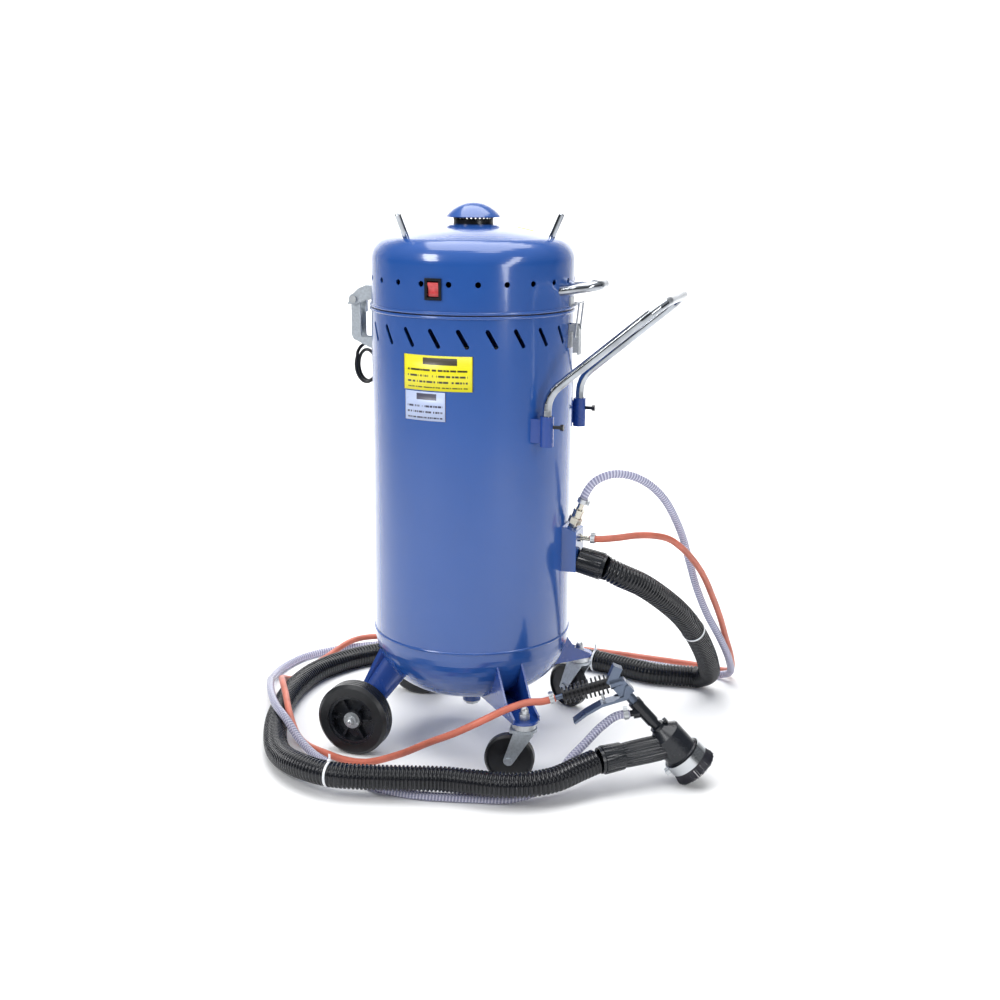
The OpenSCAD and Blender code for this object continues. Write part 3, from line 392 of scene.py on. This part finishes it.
def surface(name, color, rough, metal=0.0, vary=0.12, spread=0.08, grain=900.0,
            bump=0.08, coat=0.0, stretch=None, patch=14.0, specular=None):
    """A plain finish with uneven colour, uneven gloss and a fine texture."""
    n = Nodes(name)
    b = n.bsdf
    b.inputs["Metallic"].default_value = metal
    n.link(n.ramp(n.noise(patch, 4.0), [(0.3, tinted(color, 1 - vary)), (0.7, tinted(color, 1 + vary))]),
           b.inputs["Base Color"])
    n.link(n.span(n.noise(patch * 3, 5.0, stretch), max(0.02, rough - spread), rough + spread),
           b.inputs["Roughness"])
    n.bump(n.noise(grain, 2.0, stretch), bump, 0.0004)
    if coat:
        b.inputs["Coat Weight"].default_value = coat
        b.inputs["Coat Roughness"].default_value = 0.06
    if specular is not None:
        b.inputs["Specular IOR Level"].default_value = specular
    return n.mat


def paint_material(name, color, rough=0.2):
    """Sprayed gloss enamel with a slight orange peel."""
    n = Nodes(name)
    b = n.bsdf
    n.link(n.ramp(n.noise(5.0, 3.0), [(0.3, tinted(color, 0.96)), (0.7, tinted(color, 1.04))]),
           b.inputs["Base Color"])
    n.link(n.span(n.noise(30.0, 4.0), rough - 0.04, rough + 0.05), b.inputs["Roughness"])
    peel = n.bump(n.noise(260.0, 1.0), 0.05, 0.0006)
    b.inputs["Coat Weight"].default_value = 0.7
    b.inputs["Coat Roughness"].default_value = 0.08
    n.link(peel, b.inputs["Coat Normal"])
    return n.mat


def zinc_material(name, color=(0.62, 0.64, 0.66), rough=0.38):
    """Zinc plating with its faint crystal patches."""
    n = Nodes(name)
    b = n.bsdf
    b.inputs["Metallic"].default_value = 0.9
    v = n.node("ShaderNodeTexVoronoi", Scale=220.0)
    n.link(n.coord.outputs["Object"], v.inputs["Vector"])
    n.link(n.ramp(v.outputs["Distance"], [(0.0, tinted(color, 0.86)), (1.0, tinted(color, 1.12))]),
           b.inputs["Base Color"])
    n.link(n.span(n.noise(90.0, 4.0), rough - 0.1, rough + 0.12), b.inputs["Roughness"])
    n.bump(n.noise(700.0, 3.0), 0.12, 0.0003)
    return n.mat


def hose_material(name, color, rough, braid=0.0):
    """Rubber hose with uneven colour and gloss, and a fine grain or a braid pattern."""
    n = Nodes(name)
    b = n.bsdf
    n.link(n.ramp(n.noise(25.0, 5.0), [(0.3, tinted(color, 0.82)), (0.72, tinted(color, 1.2))]),
           b.inputs["Base Color"])
    n.link(n.span(n.noise(60.0, 4.0), rough - 0.08, rough + 0.12), b.inputs["Roughness"])
    if braid:
        uv = n.node("ShaderNodeSeparateXYZ")
        n.link(n.coord.outputs["UV"], uv.inputs["Vector"])
        turns = n.math("MULTIPLY", uv.outputs["X"], 10.0)
        one = n.math("SINE", n.math("MULTIPLY", n.math("ADD", turns, uv.outputs["Y"]), 6.2832))
        two = n.math("SINE", n.math("MULTIPLY", n.math("SUBTRACT", turns, uv.outputs["Y"]), 6.2832))
        n.bump(n.math("MAXIMUM", one, two), braid, 0.0002)
    else:
        n.bump(n.noise(600.0, 2.0), 0.08, 0.0002)
    return n.mat


def clear_hose_material(name):
    """Clear plastic hose with a white spiral moulded into it."""
    n = Nodes(name)
    b = n.bsdf
    uv = n.node("ShaderNodeSeparateXYZ")
    n.link(n.coord.outputs["UV"], uv.inputs["Vector"])
    spiral = n.math("FRACT", n.math("ADD", uv.outputs["X"], uv.outputs["Y"]))
    band = n.math("PINGPONG", spiral, 0.5)
    n.link(n.ramp(band, [(0.1, (0.74, 0.74, 0.86)), (0.26, (0.36, 0.36, 0.50))]),
           b.inputs["Base Color"])
    n.link(n.span(band, 0.35, 0.62), b.inputs["Transmission Weight"])
    n.link(n.span(n.noise(50.0, 3.0), 0.12, 0.26), b.inputs["Roughness"])
    b.inputs["IOR"].default_value = 1.3
    n.bump(band, 0.3, 0.0004)
    return n.mat


def label_material(name, ground, ink, rows, top_band):
    """A generic plate: side lines, a solid band and rows of random strokes, no letters."""
    n = Nodes(name)
    b = n.bsdf
    uv = n.node("ShaderNodeSeparateXYZ")
    n.link(n.coord.outputs["UV"], uv.inputs["Vector"])
    u, v = uv.outputs["X"], uv.outputs["Y"]
    row = n.math("FRACT", n.math("MULTIPLY", v, rows))
    in_row = n.math("LESS_THAN", n.math("ABSOLUTE", n.math("SUBTRACT", row, 0.5)), 0.17)
    dash = n.node("ShaderNodeTexNoise", Scale=1.0, Detail=1.0)
    grid = n.node("ShaderNodeCombineXYZ")
    n.link(n.math("MULTIPLY", u, 34.0), grid.inputs["X"])
    n.link(n.math("MULTIPLY", n.math("FLOOR", n.math("MULTIPLY", v, rows)), 7.3), grid.inputs["Y"])
    n.link(grid.outputs["Vector"], dash.inputs["Vector"])
    stroke = n.math("MULTIPLY", in_row, n.math("GREATER_THAN", dash.outputs["Fac"], 0.45))
    inside_u = n.math("LESS_THAN", n.math("ABSOLUTE", n.math("SUBTRACT", u, 0.5)), 0.43)
    below = n.math("LESS_THAN", v, top_band - 0.06)
    above = n.math("GREATER_THAN", v, 0.08)
    strokes = n.math("MULTIPLY", n.math("MULTIPLY", stroke, inside_u),
                     n.math("MULTIPLY", below, above))
    band_v = n.math("LESS_THAN", n.math("ABSOLUTE", n.math("SUBTRACT", v, (top_band + 0.94) / 2)),
                    (0.94 - top_band) / 2)
    band_u = n.math("LESS_THAN", n.math("ABSOLUTE", n.math("SUBTRACT", u, 0.55)), 0.24)
    ink_mask = n.math("MAXIMUM", strokes, n.math("MULTIPLY", band_v, band_u))
    edge = n.math("GREATER_THAN", n.math("ABSOLUTE", n.math("SUBTRACT", u, 0.5)), 0.49)
    ink_mask = n.math("MAXIMUM", ink_mask, edge)
    n.link(n.ramp(ink_mask, [(0.2, ground), (0.8, ink)]), b.inputs["Base Color"])
    n.link(n.span(n.noise(60.0, 3.0), 0.22, 0.4), b.inputs["Roughness"])
    n.bump(n.noise(400.0, 2.0), 0.05, 0.0002)
    return n.mat


BLUE = (0.020, 0.088, 0.345)
M = {
    "blue": paint_material("blue_paint", BLUE),
    "deep_blue": paint_material("blue_paint_legs", (0.014, 0.058, 0.29), 0.26),
    "zinc": zinc_material("zinc"),
    "galvanised": zinc_material("galvanised", (0.50, 0.54, 0.58), 0.5),
    "chrome": surface("chrome", (0.42, 0.44, 0.47), 0.13, 1.0, 0.22, 0.05, 500.0, 0.03, patch=22.0),
    "cast": surface("cast_metal", (0.13, 0.16, 0.22), 0.30, 0.8, 0.15, 0.1, 500.0, 0.16),
    "brass": surface("nickel", (0.60, 0.57, 0.49), 0.26, 0.95, 0.12, 0.08, 500.0, 0.08),
    "black": surface("black_plastic", (0.009, 0.011, 0.015), 0.25, 0.0, 0.2, 0.1, 800.0, 0.12),
    "black_soft": surface("black_rubber", (0.010, 0.010, 0.012), 0.36, 0.0, 0.25, 0.12, 700.0, 0.25),
    "tyre": surface("tyre_rubber", (0.010, 0.011, 0.013), 0.36, 0.0, 0.3, 0.12, 500.0, 0.3, patch=40.0),
    "hub": surface("hub_plastic", (0.012, 0.014, 0.019), 0.26, 0.0, 0.2, 0.1, 800.0, 0.1),
    "corrugated": hose_material("corrugated_hose", (0.006, 0.007, 0.010), 0.2),
    "lead": hose_material("mains_lead", (0.008, 0.008, 0.010), 0.32),
    "red_hose": hose_material("red_hose", (0.56, 0.15, 0.095), 0.36, 0.25),
    "clear_hose": clear_hose_material("clear_hose"),
    "nylon": surface("white_nylon", (0.80, 0.82, 0.84), 0.35, 0.0, 0.05, 0.08, 400.0, 0.05),
    "red": surface("red_plastic", (0.66, 0.07, 0.075), 0.2, 0.0, 0.15, 0.06, 500.0, 0.04, patch=120.0),
    "ceramic": surface("ceramic", (0.72, 0.70, 0.64), 0.5, 0.0, 0.08, 0.1, 600.0, 0.1),
    "brush": surface("bristles", (0.018, 0.018, 0.028), 0.42, 0.0, 0.35, 0.1, 300.0, 0.1, patch=200.0),
    "paper": surface("filter_paper", (0.68, 0.60, 0.44), 0.85, 0.0, 0.1, 0.05, 400.0, 0.3),
    "steel": surface("inner_steel", (0.30, 0.32, 0.35), 0.4, 0.7, 0.12, 0.1, 500.0, 0.1),
    "band": surface("steel_band", (0.56, 0.58, 0.60), 0.2, 1.0, 0.05, 0.06, 300.0, 0.05,
                    stretch=(1, 1, 8)),
    "sticker": surface("sticker_yellow", (0.86, 0.74, 0.02), 0.3, 0.0, 0.05, 0.06, 400.0, 0.05),
    "yellow_label": label_material("label_yellow", (0.86, 0.78, 0.02), (0.05, 0.04, 0.02), 6.0, 0.74),
    "grey_label": label_material("label_grey", (0.50, 0.58, 0.80), (0.05, 0.05, 0.09), 5.0, 0.72),
}

NODE_LOOKS = {
    "blue": ["tank_shell", "lid_shell", "vent_cap", "port_box"],
    "deep_blue": ["tank_legs", "handle_sockets"],
    "zinc": ["wheel_axles", "caster_stems", "latch_base", "latch_lever", "latch_loop", "latch_keeper",
             "hose_clamps", "drain_plug", "valve_stem", "hinge_pin"],
    "galvanised": ["hinge_bracket", "hinge_leaf", "near_caster_fork", "far_caster_fork"],
    "chrome": ["push_handle", "lid_handle", "hose_posts"],
    "cast": ["gun_body", "gun_trigger"],
    "brass": ["hose_fittings", "air_inlet_plug"],
    "black": ["gun_barrel", "hood_screw", "recovery_hood", "hood_elbow", "hose_cuffs",
              "vent_collar", "switch_bezel", "cord_gland", "mains_plug", "socket_bolts"],
    "black_soft": ["gun_grip", "lid_gasket"],
    "hub": ["left_hub", "right_hub"],
    "tyre": ["left_tyre", "right_tyre", "near_caster_wheel", "far_caster_wheel"],
    "red": ["switch_rocker"],
    "nylon": ["hose_ties"],
    "ceramic": ["gun_nozzle"],
    "brush": ["brush_ring"],
    "paper": ["filter_cartridge"],
    "steel": ["media_cone", "pickup_tube", "vacuum_motor"],
    "band": ["hood_band"],
    "corrugated": ["vacuum_hose"],
    "lead": ["power_cord", "power_cord_coil"],
    "clear_hose": ["media_hose"],
    "red_hose": ["air_hose"],
    "yellow_label": ["label_plates"],
}
BEVELLED = {
    "port_box": 0.004, "hinge_bracket": 0.0006, "hinge_leaf": 0.0006, "latch_base": 0.0006,
    "latch_lever": 0.0006, "latch_keeper": 0.0005, "handle_sockets": 0.0008, "tank_legs": 0.001,
    "gun_body": 0.0015, "gun_grip": 0.0008, "gun_barrel": 0.001, "gun_trigger": 0.0006,
    "recovery_hood": 0.001, "near_caster_fork": 0.0008, "far_caster_fork": 0.0008,
    "near_caster_wheel": 0.0012, "far_caster_wheel": 0.0012, "left_tyre": 0.0015,
    "right_tyre": 0.0015, "left_hub": 0.0008, "right_hub": 0.0008, "hose_clamps": 0.0004,
    "socket_bolts": 0.0005, "caster_stems": 0.0006, "hose_fittings": 0.0006,
    "air_inlet_plug": 0.0005, "switch_bezel": 0.001, "switch_rocker": 0.0008,
    "wheel_axles": 0.0006, "vent_collar": 0.0004, "cord_gland": 0.0005, "drain_plug": 0.0006,
}


def dress_cad_nodes():
    for look, names in NODE_LOOKS.items():
        for name in names:
            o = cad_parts[name]
            o.data.materials.clear()
            o.data.materials.append(M[look])
            if name in BEVELLED:
                soften(o, BEVELLED[name])


dress_cad_nodes()

# ------------------------------------------------------------------ hoses and the mains lead


def corrugated(outer, inner, pitch):
    def radius(s, turn):
        wave = 0.5 + 0.5 * math.cos(2 * math.pi * s / pitch)
        return inner + (outer - inner) * min(1.0, wave * 1.5)

    return radius


def declare_hose(obj, line, node):
    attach(obj, "root")
    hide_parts(node)
    path = even(line, 0.008)


def tie(name, at, along, r):
    """A cable tie round the hose: a strap, its head and the trimmed tail."""
    m = place(at, along, (0, 0, -1))
    strap = lathe(name + "_strap", [(r, -0.0024), (r + 0.0013, -0.0024), (r + 0.0013, 0.0024), (r, 0.0024),
                                    (r, -0.0024)], M["nylon"], 48, m)
    head = box(name + "_head", (0.004, 0.007, 0.007), (-r - 0.003, 0, 0), M["nylon"], m)
    tail = box(name + "_tail", (0.002, 0.0012, 0.0045), (0, 0, 0), M["nylon"], None, 0.0003)
    tail.data.transform(m @ Matrix.Translation((-r - 0.010, 0.001, 0)) @ Matrix.Scale(6.0, 4, (1, 0, 0)))
    obj = joined(name, [strap, head, tail])
    for v in obj.data.vertices:
        v.co.z = max(v.co.z, 0.0002)
    return obj


def laid(line, r):
    """The same line, with no point lower than a hose of radius r lies on the floor."""
    return [Vector((p.x, p.y, max(p.z, r + 0.0002))) for p in line]


def add_hoses():
    pitch = 0.0078
    line = laid(smooth_path(metres(VACUUM_ROUTE), pitch / 6), 0.0243)
    hose = swept("vacuum_hose_look", line, corrugated(0.0243, 0.0208, pitch), 32, M["corrugated"])
    ties = []
    for i, k in enumerate(TIE_RINGS):
        p = Vector(VACUUM_ROUTE[k]) / 1000
        near = min(range(len(line)), key=lambda j: (line[j] - p).length)
        t = (line[near + 6] - line[near - 6]).normalized()
        ties.append(tie(f"tie_{i}", line[near], t, 0.0246))
    strap = joined("hose_ties_look", ties)
    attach(strap, "root")
    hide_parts("hose_ties")
    declare_hose(hose, line, "vacuum_hose")

    line = laid(smooth_path(metres(MEDIA_ROUTE), 0.0025), 0.0086)
    hose = swept("media_hose_look", line, lambda s, turn: 0.0083 + 0.0003 * math.cos(
        2 * math.pi * (s / 0.0062 + turn)), 20, M["clear_hose"], 0.0062)
    declare_hose(hose, line, "media_hose")

    line = laid(smooth_path(metres(AIR_ROUTE), 0.006), 0.007)
    hose = swept("air_hose_look", line, lambda s, turn: 0.007, 20, M["red_hose"], 0.006)
    declare_hose(hose, line, "air_hose")


add_hoses()


COIL_AT = (-229, -8, 769.5)
COIL_POINTS = 36


def coil_point(t):
    """Point of the hanging coil, from its start at t = 0 to its end at t = 1."""
    a = math.radians(150 + 600 * t)
    half_w, half_h = 22 - 4 * t, 34 - 3 * t
    x, y, z = COIL_AT
    return Vector((x + half_w * math.cos(a), y + 16 * t, z + half_h * math.sin(a))) / 1000


def lead_line():
    points = metres(LEAD_ROUTE) + [
        coil_point(i / COIL_POINTS) for i in range(COIL_POINTS + 1)] + metres(LEAD_TAIL)
    return smooth_path(points, 0.003)


def add_mains_lead():
    line = lead_line()
    lead = swept("mains_lead_look", line, lambda s, turn: 0.0035, 12, M["lead"], 0.006)
    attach(lead, "root")
    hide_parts("power_cord", "power_cord_coil")
    path = even(line, 0.004)


add_mains_lead()

# ------------------------------------------------------------------ tank and lid trim


def curved_plate(name, angle, half, z0, z1, r, material):
    """A thin plate bent round the tank, with picture coordinates across it."""
    verts, faces, uvs = [], [], []
    n = 24
    for j, z in enumerate((z0, z1)):
        for i in range(n + 1):
            a = math.radians(angle - half + 2 * half * i / n)
            verts.append(Vector((r * math.cos(a), r * math.sin(a), z)))
            uvs.append((i / n, j))
    for i in range(n):
        faces.append((i, i + 1, n + 2 + i, n + 1 + i))
    obj = new_object(name, verts, faces, material, True, uvs)
    mod = obj.modifiers.new("thickness", "SOLIDIFY")
    mod.thickness = 0.0006
    mod.offset = 0
    return obj


def add_labels():
    yellow = curved_plate("label_yellow", -90.5, 20.2, 0.7595, 0.8255, 0.2004, M["yellow_label"])
    grey = curved_plate("label_grey", -97.5, 12.4, 0.702, 0.757, 0.2004, M["grey_label"])
    for o in (yellow, grey):
        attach(o, "root")
        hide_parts("label_plates")


add_labels()


def add_rim():
    """The rolled rim of the tank, under the lid's own bead."""
    profile = [(0.2005 + 0.003 * math.cos(a), 0.8962 + 0.003 * math.sin(a))
               for a in (math.radians(90 - 15 * k) for k in range(13))]
    rim = lathe("tank_rim_roll", profile, M["blue"], 160)
    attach(rim, "root")


def add_dome_sticker():
    """A small plain yellow sticker that follows the lid's dome."""
    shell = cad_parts["lid_shell"]
    nx, ny = 14, 6
    verts, faces, uvs = [], [], []
    for j in range(ny + 1):
        for i in range(nx + 1):
            x, y = 0.088 + 0.033 * i / nx, -0.004 + 0.018 * j / ny
            _, at, normal, _ = shell.ray_cast(Vector((x, y, 1.2)), Vector((0, 0, -1)))
            verts.append(at + normal * 0.0004)
            uvs.append((i / nx, j / ny))
    for j in range(ny):
        for i in range(nx):
            a = j * (nx + 1) + i
            faces.append((a, a + 1, a + nx + 2, a + nx + 1))
    sticker = new_object("dome_sticker", verts, faces, M["sticker"], True, uvs)
    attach(sticker, "lid")


AXLE_X, AXLE_Z = -0.188, 0.075
AXLE_END = 0.2008
WASHER_T = 0.0016


def add_axle_nuts():
    """A washer and a domed nut on the end of each fixed axle."""
    for side, name in ((-1, "left"), (1, "right")):
        m = place((AXLE_X, AXLE_END * side, AXLE_Z), (0, side, 0), (0.97, 0, 0.26))
        washer = lathe(name + "_washer", [(0.002, 0.0), (0.0125, 0.0), (0.0125, WASHER_T),
                                          (0.002, WASHER_T)], M["zinc"], 48, m)
        nut = hexagon(name + "_nut", 0.016, 0.006, m @ Matrix.Translation((0, 0, WASHER_T)),
                      M["zinc"])
        dome = lathe(name + "_dome", [(0.0070, 0.0075), (0.0066, 0.0095), (0.0052, 0.0115),
                                      (0.0030, 0.0128), (0.0004, 0.0132)], M["zinc"], 32, m)
        whole = joined(name + "_axle_nut", [washer, nut, dome])
        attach(whole, "root")


add_rim()
add_dome_sticker()
add_axle_nuts()

# ------------------------------------------------------------------ gun details

GUN = Matrix.Rotation(math.radians(20), 4, "Z") @ Matrix.Translation((0, -0.257, 0))
GUN_AXIS = Vector((0.298, 0, 0.183))
GUN_FALL = math.radians(48)


def gun_axis_place(s):
    a = GUN_FALL
    at = GUN_AXIS + Vector((s * math.cos(a), 0, -s * math.sin(a)))
    return GUN @ place(at, (math.cos(a), 0, -math.sin(a)), (math.sin(a), 0, math.cos(a)))


def elbow_place(s=0.0):
    at = GUN_AXIS + Vector((0.138 * math.cos(GUN_FALL), 0, -0.138 * math.sin(GUN_FALL)))
    m = Matrix.Translation(at) @ Matrix.Rotation(math.radians(17), 4, "Z")
    m = m @ Matrix.Rotation(math.radians(-95), 4, "Y")
    return GUN @ m @ Matrix.Translation((0, 0, s))


def flutes(count, depth):
    def ripple(r, z, a):
        return r - depth * (0.5 - 0.5 * math.cos(count * a)) ** 3

    return ripple


def add_elbow():
    """The fluted recovery elbow and the two hose cuffs with gripping ribs."""
    profile = [(0.0236, 0.020), (0.0252, 0.034), (0.0254, 0.060), (0.0246, 0.096), (0.0236, 0.1085),
               (0.0225, 0.1095), (0.0195, 0.1095), (0.0195, 0.020), (0.0236, 0.020)]
    elbow = lathe("hood_elbow_look", profile, M["black"], 144, elbow_place(), flutes(22, 0.0016))
    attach(elbow, "root")
    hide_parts("hood_elbow")

    def cuff(name, m, length, inner=0.0215):
        profile = [(0.0258, 0.0), (0.0266, 0.002), (0.0278, length - 0.009), (0.0278, length - 0.0065),
                   (0.0255, length - 0.0060), (0.0255, length), (0.0238, length), (inner, length - 0.003),
                   (inner, 0.0), (0.0258, 0.0)]

        def ripple(r, z, a):
            if r > 0.0256 and 0.001 < z < length - 0.008:
                return r - 0.0011 * (1 if math.cos(30 * a) > 0.3 else 0)
            return r

        return lathe(name, profile, M["black"], 240, m, ripple)

    a = math.radians(12)
    port = Matrix.Translation((0.228, 0, 0.402)) @ place((0, 0, 0), (math.cos(a), 0, -math.sin(a)))
    port = port @ Matrix.Translation((0, 0, 0.0005))
    cuffs = joined("hose_cuffs_look", [
        cuff("cuff_a", port, 0.056), cuff("cuff_b", elbow_place(0.110), 0.046)])
    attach(cuffs, "root")
    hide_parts("hose_cuffs")


add_elbow()


def add_brush():
    """Bristle tufts round the rim, in two staggered rows, held by a steel band."""
    tufts, per = 56, 7
    verts, faces = [], []
    m = gun_axis_place(0)
    for row in range(2):
        for t in range(tufts):
            base_a = 2 * math.pi * (t + 0.5 * row) / tufts
            for _ in range(per):
                a = base_a + random.uniform(-0.045, 0.045)
                r0 = 0.0375 + 0.0016 * row + random.uniform(-0.0004, 0.0004)
                flare = random.uniform(0.0022, 0.0058)
                tip = 0.2045 + random.uniform(-0.0015, 0.0015)
                w = 0.00045
                base = len(verts)
                for r, z, ww in ((r0, 0.184, w), (r0 + flare * 0.4, 0.195, w), (r0 + flare, tip, w * 0.8)):
                    for da, dr in ((-1, -1), (1, -1), (1, 1), (-1, 1)):
                        aa = a + da * ww / r
                        rr = r + dr * ww
                        verts.append(m @ Vector((rr * math.cos(aa), rr * math.sin(aa), z)))
                for j in range(2):
                    for q in range(4):
                        b0 = base + 4 * j + q
                        b1 = base + 4 * j + (q + 1) % 4
                        faces.append((b0, b1, b1 + 4, b0 + 4))
                faces.append((base + 8, base + 9, base + 10, base + 11))
    brush = new_object("brush_look", verts, faces, M["brush"], False)
    holder = lathe("brush_holder", [(0.0371, 0.164), (0.0389, 0.164), (0.0398, 0.186), (0.0398, 0.1885),
                                    (0.0362, 0.1885), (0.0371, 0.164)], M["black_soft"], 96, m)
    both = joined("brush_ring_look", [brush, holder])
    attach(both, "root")
    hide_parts("brush_ring")


add_brush()

# ------------------------------------------------------------------ studio


def add_studio():
    n = Nodes("studio_paper")
    n.link(n.ramp(n.noise(1.5, 2.0), [(0.3, (0.93, 0.93, 0.93)), (0.7, (0.96, 0.96, 0.96))]),
           n.bsdf.inputs["Base Color"])
    n.bsdf.inputs["Roughness"].default_value = 0.9
    n.bsdf.inputs["Specular IOR Level"].default_value = 0.1
    profile = [(-9.0, 0.0), (3.0, 0.0)]
    profile += [(3.0 + 1.5 * math.sin(math.radians(t)), 1.5 - 1.5 * math.cos(math.radians(t)))
                for t in range(6, 91, 6)]
    profile += [(4.5, 9.0)]
    verts, faces = [], []
    turn = Matrix.Rotation(math.radians(20), 4, "Z")
    for d, z in profile:
        for x in (-12.0, 12.0):
            verts.append(turn @ Vector((x, d, z - 0.0004)))
    for i in range(len(profile) - 1):
        faces.append((2 * i, 2 * i + 1, 2 * i + 3, 2 * i + 2))
    floor = new_object("studio_floor", verts, faces, n.mat, True)

    world = bpy.data.worlds.new("studio")
    scene.world = world
    world.use_nodes = True
    back = world.node_tree.nodes["Background"]
    tree = world.node_tree
    coord = tree.nodes.new("ShaderNodeTexCoord")
    parts = tree.nodes.new("ShaderNodeSeparateXYZ")
    ramp = tree.nodes.new("ShaderNodeValToRGB")
    tree.links.new(coord.outputs["Generated"], parts.inputs["Vector"])
    tree.links.new(parts.outputs["Z"], ramp.inputs["Fac"])
    tree.links.new(ramp.outputs["Color"], back.inputs["Color"])
    ends = ramp.color_ramp.elements
    ends[0].position, ends[0].color = 0.12, (0.05, 0.055, 0.06, 1)
    ends[1].position, ends[1].color = 0.75, (0.75, 0.78, 0.82, 1)
    back.inputs["Strength"].default_value = 0.6

    def area(name, at, aim, size, power, size_y=None):
        data = bpy.data.lights.new(name, "AREA")
        data.energy = power
        data.shape = "RECTANGLE"
        data.size = size
        data.size_y = size_y or size
        obj = bpy.data.objects.new(name, data)
        scene.collection.objects.link(obj)
        obj.matrix_world = place(at, Vector(at) - Vector(aim), (1, 0, 0))

    area("key", (-1.6, -2.6, 2.6), (0, 0, 0.6), 0.9, 60, 1.6)
    area("fill", (2.6, -1.4, 1.6), (0, 0, 0.6), 0.5, 26, 2.2)
    area("top", (0, 0.2, 3.6), (0, 0.2, 0), 3.0, 105)
    area("wash", (-0.7, 2.0, 3.4), (-1.6, 4.4, 1.0), 4.0, 170, 1.0)


add_studio()
scene.view_settings.view_transform = "Standard"
